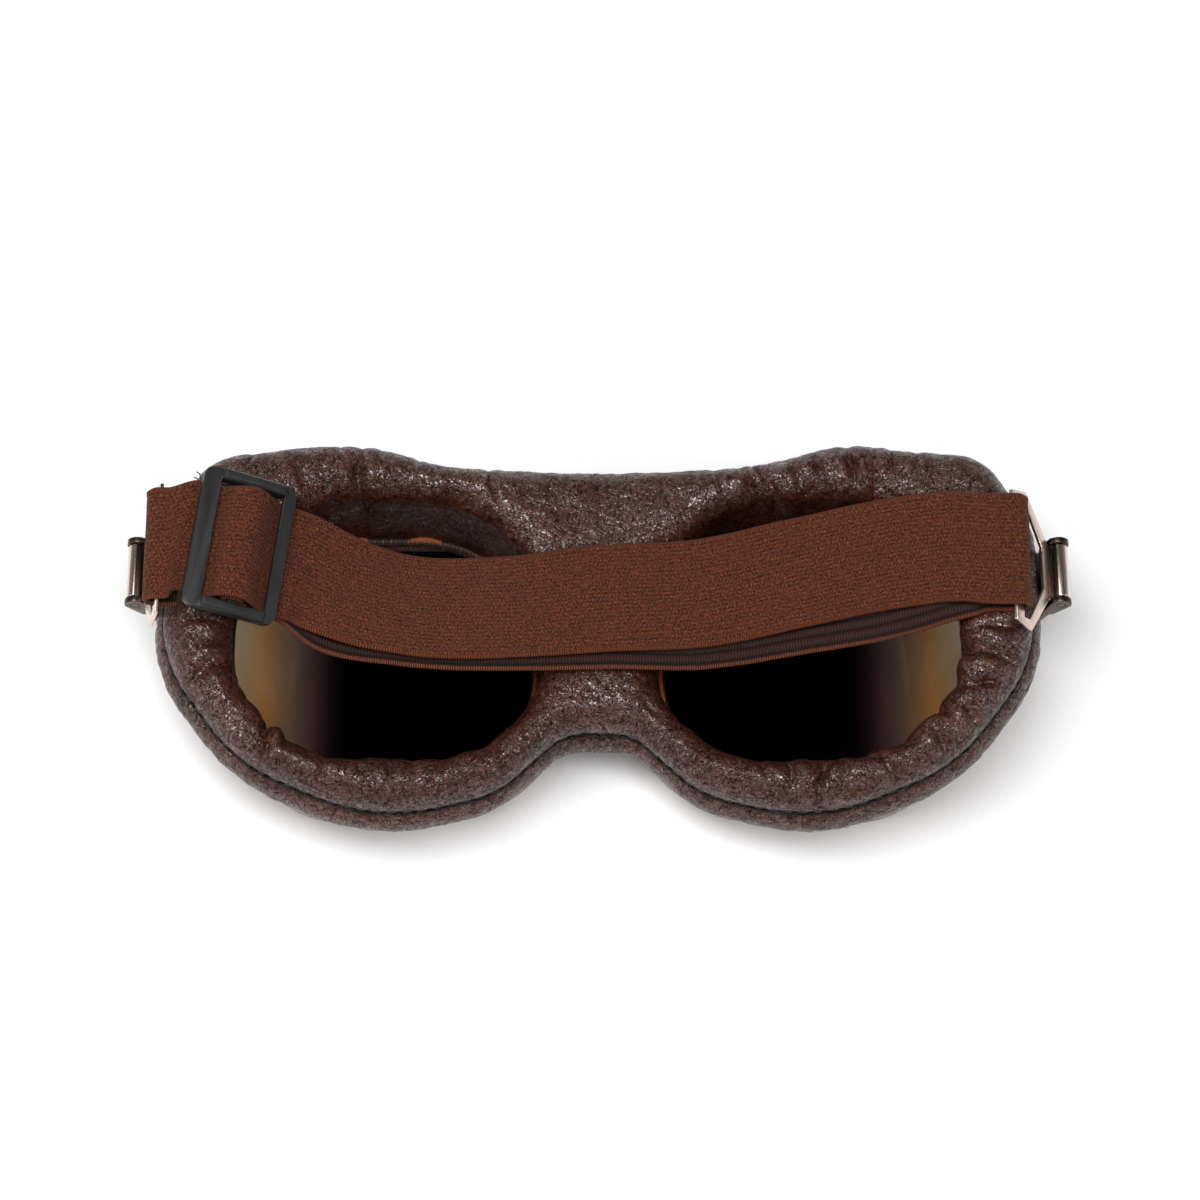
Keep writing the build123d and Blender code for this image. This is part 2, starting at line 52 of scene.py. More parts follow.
# shape shared by the pad, rims and lenses, in millimetres, right side
form = dict(
    padHalfWidth=90.0,
    padHalfHeight=42.5,
    padTilt=math.radians(6.5),
    noseCrown=28.0,
    cornerShares=(
        (0.06, -0.548), (0.22, -0.873), (0.50, -1.028), (0.82, -0.763), (1.01, -0.233),
        (1.01, 0.527), (0.91, 0.877), (0.56, 1.002), (0.36, 0.887),
    ),
    roundShares=(0.22, 0.58, 0.95, 0.90, 0.70, 0.58, 0.30, 0.95, 1.40),
    padOpening=(42.8, -0.85, 32.4, 28.6, 26.0),
    eyeOpening=(44.0, -0.85, 34.0, 29.0, 25.0),
    bendX=54.0,
    bendRadius=22.0,
    bendAngle=math.radians(38.0),
    rimEndX=82.4,
    lensFront=1.25,
    lensBack=3.05,
    rimDepth=5.7,
    feltBack=6.75,
)


def bentHeight(x, depth):
    # height of the surface at a depth behind the bent front
    x = min(abs(x), form["rimEndX"])
    radius = form["bendRadius"] - depth
    turn = form["bendAngle"]
    if x <= form["bendX"]:
        return depth
    if x <= form["bendX"] + radius * math.sin(turn):
        return form["bendRadius"] - math.sqrt(radius ** 2 - (x - form["bendX"]) ** 2)
    run = x - form["bendX"] - radius * math.sin(turn)
    return form["bendRadius"] - radius * math.cos(turn) + run * math.tan(turn)


def roundedPath(corners, radii, step):
    # open path through corners, each rounded by an arc
    path = [Vector(corners[0])]
    for index in range(1, len(corners) - 1):
        before = Vector(corners[index - 1])
        corner = Vector(corners[index])
        after = Vector(corners[index + 1])
        comeIn = (corner - before).normalized()
        goOut = (after - corner).normalized()
        turn = comeIn.angle(goOut)
        side = 1 if comeIn.x * goOut.y - comeIn.y * goOut.x > 0 else -1
        radius = radii[index - 1]
        setback = radius * math.tan(turn / 2)
        start = corner - comeIn * setback
        centre = start + Vector((-comeIn.y, comeIn.x)) * side * radius
        count = max(2, int(radius * turn / step))
        for k in range(count + 1):
            spun = Matrix.Rotation(side * turn * k / count, 2) @ (start - centre)
            path.append(centre + spun)
    path.append(Vector(corners[-1]))
    return path


def resample(path, step):
    points = [path[0]]
    for a, b in zip(path, path[1:]):
        length = (b - a).length
        pieces = max(1, round(length / step))
        for k in range(1, pieces + 1):
            points.append(a.lerp(b, k / pieces))
    return points


def roundedBox(centreX, centreY, halfWidth, halfHeight, corner, perCorner=28, perSide=10):
    # closed outline, counterclockwise, with its outward normals
    quarter = math.pi / 2
    centres = [(centreX + sideX * (halfWidth - corner), centreY + sideY * (halfHeight - corner))
               for sideX, sideY in ((1, 1), (-1, 1), (-1, -1), (1, -1))]

    def spot(centre, angle):
        return Vector((centre[0] + corner * math.cos(angle), centre[1] + corner * math.sin(angle)))

    points, normals = [], []
    for turn, centre in enumerate(centres):
        angles = [turn * quarter + quarter * k / perCorner for k in range(perCorner)]
        angles += [(turn + 1) * quarter] * perSide
        points += [spot(centre, angle) for angle in angles[:perCorner]]
        start, end = spot(centre, angles[-1]), spot(centres[(turn + 1) % 4], angles[-1])
        points += [start.lerp(end, k / perSide) for k in range(perSide)]
        normals += [Vector((math.cos(angle), math.sin(angle))) for angle in angles]
    return points, normals


def addObject(name, data):
    piece = bpy.data.objects.new(name, data)
    bpy.context.scene.collection.objects.link(piece)
    return piece


def newMesh(name, verts, faces, uvs=None, smooth=True):
    mesh = bpy.data.meshes.new(name)
    mesh.from_pydata([tuple(v) for v in verts], [], faces)
    if uvs:
        layer = mesh.uv_layers.new(name="along")
        for loop in mesh.loops:
            layer.data[loop.index].uv = uvs[loop.vertex_index]
    mesh.polygons.foreach_set("use_smooth", [smooth] * len(mesh.polygons))
    mesh.update()
    return addObject(name, mesh)


def objectFrom(work, name, sharp=None):
    # the bmesh as a smooth object, with edges over the sharp angle kept
    mesh = bpy.data.meshes.new(name)
    work.to_mesh(mesh)
    work.free()
    mesh.polygons.foreach_set("use_smooth", [True] * len(mesh.polygons))
    if sharp:
        mesh.set_sharp_from_angle(angle=math.radians(sharp))
    return addObject(name, mesh)


def fixNormals(piece):
    work = bmesh.new()
    work.from_mesh(piece.data)
    bmesh.ops.recalc_face_normals(work, faces=work.faces)
    work.to_mesh(piece.data)
    work.free()


def gridFaces(rows, columns, closedRows=False, closedColumns=False, start=0):
    faces = []
    for r in range(rows if closedRows else rows - 1):
        here, there = start + r * columns, start + (r + 1) % rows * columns
        for c in range(columns if closedColumns else columns - 1):
            after = (c + 1) % columns
            faces.append((here + c, there + c, there + after, here + after))
    return faces


def mirrored(piece, name):
    data = piece.data.copy()
    data.name = name
    data.transform(Matrix.Scale(-1, 4, (1, 0, 0)))
    data.flip_normals()
    return addObject(name, data)


def softened(part, name, width):
    # a CAD node's shape again, with its edges rounded off
    work = bmesh.new()
    work.from_mesh(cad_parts[part].data)
    bmesh.ops.remove_doubles(work, verts=work.verts, dist=0.00002)
    bmesh.ops.dissolve_limit(work, angle_limit=math.radians(1.5), verts=work.verts, edges=work.edges)
    edges = [e for e in work.edges if len(e.link_faces) == 2 and e.calc_face_angle(0) > math.radians(25)]
    bmesh.ops.bevel(work, geom=edges, offset=width * mm, segments=3, profile=0.5,
                    affect="EDGES", clamp_overlap=True)
    piece = objectFrom(work, name, 35)
    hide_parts(part)
    return piece


def tubeAlong(points, radius, sides=8, closed=False):
    # verts and faces of a round thread through points
    verts, count = [], len(points)
    for k, point in enumerate(points):
        if closed:
            tangent = (points[(k + 1) % count] - points[k - 1]).normalized()
        else:
            tangent = (points[min(k + 1, count - 1)] - points[max(k - 1, 0)]).normalized()
        side = tangent.cross(Vector((0, 0, 1)))
        if side.length < 0.05:
            side = tangent.cross(Vector((0, 1, 0)))
        side.normalize()
        top = side.cross(tangent)
        for s in range(sides):
            angle = 2 * math.pi * s / sides
            verts.append(point + (side * math.cos(angle) + top * math.sin(angle)) * radius)
    faces = gridFaces(count, sides, closed, True)
    if not closed:
        faces += [tuple(range(sides)), tuple(reversed(range((count - 1) * sides, count * sides)))]
    return verts, faces


def gather(parts):
    # many small meshes as one list of verts and faces
    verts, faces = [], []
    for partVerts, partFaces in parts:
        start = len(verts)
        verts.extend(partVerts)
        faces.extend(tuple(i + start for i in face) for face in partFaces)
    return verts, faces


def feed(tree, made, inputs):
    # each input takes a value or another node's output
    for key, value in inputs.items():
        if isinstance(value, bpy.types.NodeSocket):
            tree.links.new(value, made.inputs[key])
        else:
            made.inputs[key].default_value = value
    return made


def node(tree, kind, inputs=None, **settings):
    made = tree.nodes.new(kind)
    for key, value in settings.items():
        setattr(made, key, value)
    return feed(tree, made, inputs or {})


def makeGroup(name, inputs, outputs):
    group = bpy.data.node_groups.new(name, "ShaderNodeTree")
    for title, value in inputs.items():
        socket = group.interface.new_socket(name=title, in_out="INPUT", socket_type="NodeSocketFloat")
        socket.default_value = value
    for title in outputs:
        group.interface.new_socket(name=title, in_out="OUTPUT", socket_type="NodeSocketFloat")
    return group, node(group, "NodeGroupInput").outputs, node(group, "NodeGroupOutput")


def mathNode(tree, operation, a, b=None, clamp=False):
    inputs = {0: a} if b is None else {0: a, 1: b}
    return node(tree, "ShaderNodeMath", inputs, operation=operation, use_clamp=clamp).outputs[0]


def sums(tree):
    return (partial(mathNode, tree, word) for word in ("MULTIPLY", "ADD", "SUBTRACT"))


def mixColor(tree, factor, first, second):
    return node(tree, "ShaderNodeMix", {0: factor, 6: first, 7: second}, data_type="RGBA").outputs[2]


def noiseNode(tree, place, scale, detail=2, roughness=0.5, distortion=0.0):
    return node(tree, "ShaderNodeTexNoise", {"Vector": place, "Scale": scale, "Detail": detail,
                                             "Roughness": roughness, "Distortion": distortion}).outputs


def objectPlace(tree):
    return node(tree, "ShaderNodeTexCoord").outputs["Object"]


def shifted(tree, place, by, reach):
    # coordinates pushed about by a colour
    pushed = node(tree, "ShaderNodeVectorMath", {0: by, 1: reach, 2: place}, operation="MULTIPLY_ADD")
    return pushed.outputs[0]


def mapRange(tree, value, low, high, toLow=0.0, toHigh=1.0, kind="LINEAR"):
    inputs = {"Value": value, "From Min": low, "From Max": high, "To Min": toLow, "To Max": toHigh}
    return node(tree, "ShaderNodeMapRange", inputs, interpolation_type=kind).outputs[0]


def pebbleGroup():
    group, given, leave = makeGroup("leatherGrain", {"Pebble Scale": 1300.0, "Crease Scale": 300.0},
                                    ("Height", "Valley", "Cloud"))
    times, plus, minus = sums(group)
    place = objectPlace(group)

    def wrinkles(scale, distortion, gain):
        lines = noiseNode(group, place, scale, 2, 0.55, distortion)["Fac"]
        return times(mathNode(group, "ABSOLUTE", minus(lines, 0.5)), gain, clamp=True)

    wobbled = shifted(group, place, noiseNode(group, place, 420, 3)["Color"], (0.0016, 0.0016, 0.0016))
    cells = node(group, "ShaderNodeTexVoronoi", {"Vector": wobbled, "Scale": given["Pebble Scale"]},
                 feature="DISTANCE_TO_EDGE")
    pebble = mapRange(group, cells.outputs["Distance"], 0.0, 0.13, kind="SMOOTHSTEP")
    fine = wrinkles(times(given["Pebble Scale"], 0.7), 0.9, 19.0)
    crease = wrinkles(given["Crease Scale"], 1.4, 14.0)
    crumple = noiseNode(group, place, 260, 2, distortion=0.8)["Fac"]
    height = plus(plus(plus(times(pebble, 0.45), times(fine, 0.55)), times(crease, 0.7)), times(crumple, 9.0))
    # top marks the raised grain; the valleys below it get a dark colour that is partly painted shade
    top = times(plus(times(pebble, 0.45), 0.55), plus(times(fine, 0.7), 0.3))
    top = times(top, plus(times(crease, 0.45), 0.55))
    cloud = noiseNode(group, place, 60, 4)["Fac"]
    feed(group, leave, {"Height": height, "Valley": minus(1.0, top), "Cloud": cloud})
    return group


def smearGroup():
    # dust and faint rubbing marks on hard surfaces
    group, given, leave = makeGroup("rubMarks", {"Mark Scale": 300.0, "Cloud Scale": 60.0},
                                    ("Marks", "Cloud"))
    place = objectPlace(group)
    stretch = node(group, "ShaderNodeMapping", {"Vector": place, "Scale": (1.0, 0.12, 1.0),
                                                "Rotation": (0.4, 0.3, 0.6)}).outputs[0]
    marks = noiseNode(group, stretch, given["Mark Scale"], 8, 0.7)["Fac"]
    cloud = noiseNode(group, place, given["Cloud Scale"], 5)["Fac"]
    feed(group, leave, {"Marks": mapRange(group, marks, 0.45, 0.7), "Cloud": cloud})
    return group


def elasticGroup():
    # woven elastic: u runs along the strap, v across it, both in metres
    group, given, leave = makeGroup(
        "elasticWeave",
        {"Rib Pitch": 0.0009, "Pick Pitch": 0.0008, "Width": 0.0246, "Selvage": 0.0007, "Crepe": 1.0},
        ("Height", "Thread", "Edge"))
    times, plus, minus = sums(group)
    over = partial(mathNode, group, "DIVIDE")
    place = node(group, "ShaderNodeUVMap", uv_map="along").outputs[0]
    fuzz = noiseNode(group, place, 1100, 4, 0.65)
    u, v = node(group, "ShaderNodeSeparateXYZ", {
        0: shifted(group, place, fuzz["Color"], (0.0003, 0.00025, 0.0))}).outputs[:2]

    def wave(phase):
        return mathNode(group, "SINE", times(mathNode(group, "FRACT", phase), math.pi))

    ribPhase = over(v, given["Rib Pitch"])
    everySecond = times(mathNode(group, "PINGPONG", mathNode(group, "FLOOR", ribPhase), 1.0), 0.5)
    pick = wave(plus(over(u, given["Pick Pitch"]), everySecond))
    woven = times(wave(ribPhase), plus(times(pick, 0.75), 0.25))
    crepe = mapRange(group, noiseNode(group, place, 2500, 3, 0.6, 0.7)["Fac"], 0.40, 0.58, kind="SMOOTHSTEP")
    face = node(group, "ShaderNodeMix", {0: times(given["Crepe"], 0.6), 2: woven, 3: crepe},
                data_type="FLOAT").outputs[0]
    fromEdge = minus(times(given["Width"], 0.5), mathNode(group, "ABSOLUTE", v))
    edge = mathNode(group, "LESS_THAN", fromEdge, given["Selvage"])
    edgeWoven = times(wave(over(u, 0.00047)), plus(times(wave(over(fromEdge, 0.0009)), 0.7), 0.3))
    thread = plus(times(face, minus(1.0, edge)), times(edgeWoven, edge))
    feed(group, leave, {"Height": plus(thread, times(fuzz["Fac"], 0.25)), "Thread": thread, "Edge": edge})
    return group


leatherGrain = pebbleGroup()
rubMarks = smearGroup()
elasticWeave = elasticGroup()


def newMaterial(name):
    material = bpy.data.materials.new(name)
    material.use_nodes = True
    tree = material.node_tree
    shader = tree.nodes["Principled BSDF"]
    return material, tree, shader


def placeGroup(tree, group, inputs):
    placed = node(tree, "ShaderNodeGroup")
    placed.node_tree = group
    return feed(tree, placed, inputs).outputs


def rampNode(tree, factor, stops):
    ramp = node(tree, "ShaderNodeValToRGB")
    elements = ramp.color_ramp.elements
    while len(elements) < len(stops):
        elements.new(0.5)
    for element, (place, color) in zip(elements, stops):
        element.position = place
        element.color = color
    tree.links.new(factor, ramp.inputs[0])
    return ramp.outputs[0]


def bumpFrom(tree, shader, height, strength, distance):
    bump = node(tree, "ShaderNodeBump", {"Strength": strength, "Distance": distance, "Height": height})
    feed(tree, shader, {"Normal": bump.outputs[0]})


leatherLook = dict(pebbleScale=1150.0, creaseScale=300.0, cloud=(0.72, 1.25), rubbed=0.16, bump=0.00008)


def leatherMaterial(name, recessToneAndShade, middle, worn, gloss=0.26, shine=0.95):
    material, tree, shader = newMaterial(name)
    times, plus, minus = sums(tree)
    grain = placeGroup(tree, leatherGrain, {"Pebble Scale": leatherLook["pebbleScale"],
                                            "Crease Scale": leatherLook["creaseScale"]})
    level = minus(1.0, grain["Valley"])
    # dark colour in the grain's valleys: the leather's crackle tone and painted shade of the creases together
    base = rampNode(tree, level, [(0.24, recessToneAndShade), (0.56, middle), (0.98, worn)])
    shade = mapRange(tree, grain["Cloud"], 0.3, 0.7, *leatherLook["cloud"])
    tone = node(tree, "ShaderNodeVectorMath", {0: base, "Scale": shade}, operation="SCALE")
    rough = plus(times(grain["Valley"], leatherLook["rubbed"]), gloss)
    # only the tops of the grain shine, with a plain value for what reads no links
    shader.inputs["Specular IOR Level"].default_value = 0.5 * shine
    feed(tree, shader, {"Base Color": tone.outputs[0], "Roughness": rough,
                        "Specular IOR Level": times(mathNode(tree, "POWER", level, 1.5), shine)})
    bumpFrom(tree, shader, grain["Height"], 1.0, leatherLook["bump"])
    return material


def hardMaterial(name, color, other, rough, metal=None):
    # metal: share of the tarnish, or None for a moulded piece
    material, tree, shader = newMaterial(name)
    times, plus, minus = sums(tree)
    scales = (500.0, 120.0) if metal is None else (420.0, 90.0)
    marks = placeGroup(tree, rubMarks, {"Mark Scale": scales[0], "Cloud Scale": scales[1]})
    stain = marks["Cloud"] if metal is None else times(marks["Cloud"], metal)
    rubbed = times(marks["Marks"], 0.12 if metal is None else 0.14)
    feed(tree, shader, {"Base Color": mixColor(tree, stain, color, other), "Roughness": plus(rubbed, rough),
                        "Metallic": 0.0 if metal is None else 1.0})
    if metal is None:
        bumpFrom(tree, shader, marks["Cloud"], 0.1, 0.0001)
    else:
        bumpFrom(tree, shader, marks["Marks"], 0.08, 0.00003)
    return material


def elasticMaterial(name, body, recessToneAndShade, edgeColor, ribPitch=0.0009, pickPitch=0.0008, crepe=1.0):
    material, tree, shader = newMaterial(name)
    weave = placeGroup(tree, elasticWeave, {"Rib Pitch": ribPitch, "Pick Pitch": pickPitch, "Crepe": crepe})
    # the recess colour between the threads is painted shade of the weave's gaps
    shade, edgeShade = (mixColor(tree, weave["Thread"], recessToneAndShade, color) for color in (body, edgeColor))
    atEdge = mathNode(tree, "MULTIPLY", weave["Edge"], 0.75)
    feed(tree, shader, {"Base Color": mixColor(tree, atEdge, shade, edgeShade), "Roughness": 0.72,
                        "Specular IOR Level": 0.14, "Sheen Weight": 0.03, "Sheen Roughness": 0.4})
    bumpFrom(tree, shader, weave["Height"], 0.9, 0.00035)
    return material


def threadMaterial(name, color, other):
    material, tree, shader = newMaterial(name)
    twist = noiseNode(tree, objectPlace(tree), 2200, 2)["Fac"]
    feed(tree, shader, {"Base Color": mixColor(tree, twist, color, other), "Roughness": 0.5,
                        "Specular IOR Level": 0.35})
    bumpFrom(tree, shader, twist, 0.5, 0.0002)
    return material


def feltMaterial():
    material, tree, shader = newMaterial("orangeFelt")
    fibre = noiseNode(tree, objectPlace(tree), 1500, 6, 0.75)["Fac"]
    stops = [(0.3, (0.10, 0.018, 0.004, 1)), (0.7, (0.42, 0.085, 0.015, 1))]
    feed(tree, shader, {"Base Color": rampNode(tree, fibre, stops), "Roughness": 0.95, "Sheen Weight": 0.08})
    bumpFrom(tree, shader, fibre, 0.9, 0.0004)
    return material


# smoke tint from the nose to the temple, with painted shade and light: near black at the nose, where the table
# under the lens is in shadow, lighter at the temple, where the lens lifts over the lit table
lensTintAndShade = (
    (0.0, (0.001, 0.0006, 0.0008, 1)), (0.18, (0.003, 0.002, 0.0025, 1)), (0.30, (0.04, 0.022, 0.026, 1)),
    (0.38, (0.10, 0.055, 0.058, 1)), (0.50, (0.16, 0.115, 0.092, 1)), (0.62, (0.32, 0.19, 0.10, 1)),
    (0.71, (0.48, 0.25, 0.085, 1)), (0.84, (0.46, 0.34, 0.20, 1)), (1.0, (0.55, 0.46, 0.37, 1)),
)


def lensMaterial():
    material, tree, shader = newMaterial("smokeLens")
    x = node(tree, "ShaderNodeSeparateXYZ", {0: objectPlace(tree)}).outputs[0]
    # painted shade that lightens from the nose towards the temple
    thin = mapRange(tree, mathNode(tree, "ABSOLUTE", x), 0.048, 0.080)
    feed(tree, shader, {"Base Color": rampNode(tree, thin, lensTintAndShade), "Roughness": 0.02, "IOR": 1.5,
                        "Transmission Weight": 1.0})
    return material


padLeather = leatherMaterial("brownLeather", (0.007, 0.002, 0.0015, 1), (0.038, 0.010, 0.005, 1),
                             (0.076, 0.0235, 0.0135, 1))
# the side wall's leather is a lighter copy of the pad's: painted light from the side lamps and the floor's bounce
skirtLitLeather = leatherMaterial("skirtLitLeather", (0.010, 0.004, 0.002, 1), (0.046, 0.0135, 0.007, 1),
                               (0.088, 0.032, 0.020, 1), shine=0.7)
# the seam cord's near-black colour is painted shade of the seam's groove
shadedWeltLeather = leatherMaterial("seamCord", (0.003, 0.002, 0.001, 1), (0.007, 0.004, 0.003, 1),
                              (0.012, 0.008, 0.006, 1), gloss=0.5, shine=0.3)
blackThread = threadMaterial("blackThread", (0.006, 0.004, 0.003, 1), (0.030, 0.017, 0.012, 1))
brownThread = threadMaterial("brownThread", (0.030, 0.014, 0.009, 1), (0.085, 0.040, 0.022, 1))
felt = feltMaterial()
bronzeRim = hardMaterial("bronzeRim", (0.40, 0.27, 0.19, 1), (0.22, 0.13, 0.08, 1), 0.22, metal=0.6)
polishedBronze = hardMaterial("polishedBronze", (0.82, 0.70, 0.64, 1), (0.58, 0.40, 0.31, 1), 0.26, metal=0.7)
darkBronze = hardMaterial("darkBronze", (0.10, 0.075, 0.06, 1), (0.04, 0.03, 0.025, 1), 0.32, metal=0.35)
blackRing = hardMaterial("blackRing", (0.010, 0.010, 0.010, 1), (0.022, 0.021, 0.020, 1), 0.45)
blackMoulding = hardMaterial("blackMoulding", (0.011, 0.011, 0.011, 1), (0.022, 0.021, 0.021, 1), 0.38)
strapElastic = elasticMaterial("strapElastic", (0.170, 0.042, 0.0155, 1), (0.011, 0.003, 0.0012, 1),
                               (0.175, 0.045, 0.017, 1))
strapInside = elasticMaterial("strapInside", (0.046, 0.021, 0.016, 1), (0.003, 0.001, 0.001, 1),
                              (0.24, 0.064, 0.028, 1), ribPitch=0.0022, pickPitch=0.00062, crepe=0.15)
smokeLens = lensMaterial()
print("materials made")


def finishPiece(piece, material, body):
    piece.data.materials.clear()
    piece.data.materials.append(material)
    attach(piece, body)
    return piece


pad = dict(
    seamInset=2.5,
    seamDrop=7.0,
    crownRound=5.6,
    holeRound=5.0,
    crownPuff=0.9,
    puffReach=5.0,
    rollOut=0.9,
    wallSteps=7,
    radialSteps=34,
    rays=480,
    wallLean=1.5,
    wallPull=(0.25, 0.4),
    crownPull=(0.6, 0.4),
    turnUnder=((1.75, 6.2), (2.1, 6.7), (2.7, 7.15), (3.6, 7.3)),
    underSeam=((3.4, 7.25), (2.7, 7.45), (1.9, 7.9), (1.05, 8.9), (0.45, 10.2), (0.1, 11.6), (0.0, 13.0)),
    skirtTaper=math.radians(34),
    skirtSteps=8,
    skirtHollow=1.6,
    underDrop=20.0,
    underGap=0.4,
    seatGap=0.15,
    gatherPitch=4.2,
    gatherDepth=0.16,
    noseSmooth=7.0,
)
tiny = 1e-9


def padPoint(u, v, drop):
    tilt = form["padTilt"]
    return Vector((u * math.cos(tilt) + drop * math.sin(tilt), v,
                   form["noseCrown"] + u * math.sin(tilt) - drop * math.cos(tilt)))


def outlineRight():
    corners = [(x * form["padHalfWidth"], y * form["padHalfHeight"]) for x, y in form["cornerShares"]]
    rounds = [share * form["padHalfHeight"] for share in form["roundShares"]]
    ends = [(-20.0, corners[k][1]) for k in (0, -1)]
    path = resample(roundedPath(ends[:1] + corners + ends[1:], rounds, 1.0), 1.0)
    return [p for p in path if p.x > 1e-6]


def rayHit(centre, direction, path):
    best = None
    for a, b in zip(path, path[1:]):
        edge = b - a
        cross = direction.x * edge.y - direction.y * edge.x
        if abs(cross) < 1e-12:
            continue
        toStart = a - centre
        along = (toStart.x * edge.y - toStart.y * edge.x) / cross
        share = (toStart.x * direction.y - toStart.y * direction.x) / cross
        if along > 0 and -1e-6 <= share <= 1 + 1e-6 and (best is None or along < best):
            best = along
    return centre + direction * best if best else None


eyeCentre = Vector(form["padOpening"][:2])
outline = outlineRight()
bottomStart, topEnd = (Vector((0.0, outline[k].y)) for k in (0, -1))
outline = [bottomStart] + outline + [topEnd]
holeLoop = roundedBox(*form["padOpening"])[0]
holeLoop.append(holeLoop[0])

bottomAngle, topAngle = (math.atan2(end.y - eyeCentre.y, end.x - eyeCentre.x) % (2 * math.pi)
                         for end in (bottomStart, topEnd))
angles = [2 * math.pi * k / pad["rays"] for k in range(pad["rays"])]
for exact in (bottomAngle, topAngle):
    angles[min(range(len(angles)), key=lambda k: abs(angles[k] - exact))] = exact

outlineTree = kdtree.KDTree(2 * len(outline))
for k, p in enumerate(outline):
    outlineTree.insert((p.x, p.y, 0), k)
    outlineTree.insert((-p.x, p.y, 0), k + len(outline))
outlineTree.balance()


def outlineNormal(point):
    # inward normal of the whole outline near a point
    index = outlineTree.find((point.x, point.y, 0))[1] % len(outline)
    tangent = (outline[min(index + 2, len(outline) - 1)] - outline[max(index - 2, 0)]).normalized()
    if index <= 1 or index >= len(outline) - 2:
        tangent = Vector((1 if index <= 1 else -1, 0))
    return Vector((-tangent.y, tangent.x))


def roundDrop(distance, radius):
    if distance >= radius:
        return 0.0
    reach = radius - max(distance, 0.0)
    return radius - math.sqrt(max(radius ** 2 - reach ** 2, 0.0))


def makeSections():
    # rays from the eye's centre to the outline, or to the centre line over the nose
    found = []
    margin = pad["seamInset"] - pad["rollOut"] + 0.3
    for angle in angles:
        direction = Vector((math.cos(angle), math.sin(angle)))
        normal = None
        if topAngle + tiny < angle < bottomAngle - tiny:
            outer = eyeCentre + direction * (eyeCentre.x / -direction.x)
            if not bottomStart.y + margin < outer.y < topEnd.y - margin:
                continue
        else:
            outer = rayHit(eyeCentre, direction, outline)
            for exact, end in ((topAngle, topEnd), (bottomAngle, bottomStart)):
                if abs(angle - exact) < tiny:
                    outer = end.copy()
            normal = outlineNormal(outer)
        inner = rayHit(eyeCentre, direction, holeLoop)
        found.append(dict(angle=angle, inner=inner, outer=outer, normal=normal, direction=direction))
    return found


sections = makeSections()


def valleyRise(x):
    smooth = pad["noseSmooth"]
    return math.tan(form["padTilt"]) * (math.sqrt(x * x + smooth * smooth) - abs(x))


def onPad(plan, drop):
    # on the tilted half at a drop below its crown, with the valley over the nose filled
    point = padPoint(plan.x, plan.y, drop)
    point.z += valleyRise(plan.x)
    return point


def seatHeight(x):
    return bentHeight(x, form["feltBack"]) + pad["seatGap"]


def crownPoint(plan, holeDistance, edgeDistance):
    drop = roundDrop(edgeDistance, pad["crownRound"]) + roundDrop(holeDistance, pad["holeRound"])
    inside = min(edgeDistance, holeDistance) / pad["puffReach"]
    drop -= pad["crownPuff"] * max(0.0, min(1.0, inside))
    return onPad(plan, min(drop, pad["seamDrop"]))


def seamRing(section, inset, drop):
    point = onPad(section["outer"] + section["normal"] * inset, drop)
    if abs(section["outer"].x) < tiny:
        point.x = 0.0
    return point


def coverRow(section):
    # points from the felt up the inner wall and over the crown to the seam, each with its pull
    inner, outer, atEdge = section["inner"], section["outer"], section["normal"] is not None
    seamReach, steps = pad["seamInset"] - pad["rollOut"], pad["radialSteps"]
    edge = outer + section["normal"] * seamReach if atEdge else outer
    wallTop = onPad(inner, pad["holeRound"])
    footZ = bentHeight(wallTop.x + pad["wallLean"], form["feltBack"]) + 0.1
    (low, rise), (crown, more) = pad["wallPull"], pad["crownPull"]
    row = []
    for k in range(pad["wallSteps"]):
        share = k / pad["wallSteps"]
        height = footZ + (wallTop.z - footZ) * share
        lean = (wallTop.z - height) * math.sin(form["padTilt"])
        row.append((Vector((wallTop.x + lean, wallTop.y, height)), low + rise * share))
    for k in range(steps + 1):
        share = (1 - math.cos(math.pi * k / steps)) / 2
        plan = inner.lerp(edge, share)
        edgeDistance = outlineTree.find((plan.x, plan.y, 0))[2] - seamReach
        if atEdge and k == steps:
            edgeDistance = 0.0
        point = crownPoint(plan, (plan - inner).length, edgeDistance)
        if k == steps and (not atEdge or abs(outer.x) < tiny):
            point.x = 0.0
        row.append((point, crown + more * share if atEdge else crown))
    if atEdge:
        row += [(seamRing(section, *spot), 1.0) for spot in pad["turnUnder"]]
    return row


def skirtProfile(section):
    # inset and drop from under the seam over the bulge to the foot on the felt's level
    bulge, slope = pad["underSeam"][-1][1], math.tan(pad["skirtTaper"])
    for k in range(400):
        depth = k * 0.05
        plan = section["outer"] + section["normal"] * depth * slope
        point = padPoint(plan.x, plan.y, bulge + depth)
        if point.z <= seatHeight(point.x):
            break
    shares = [k / pad["skirtSteps"] for k in range(1, pad["skirtSteps"] + 1)]
    wall = [(depth * slope * share ** pad["skirtHollow"], bulge + depth * share) for share in shares]
    return list(pad["underSeam"]) + wall


# how far the gathers move the skirt's points, from the seam down
skirtPulls = (0.2, 0.4, 0.7, 1, 1, 1, 1, 0.9, 0.8, 0.7, 0.55, 0.4, 0.3, 0.2, 0.1)


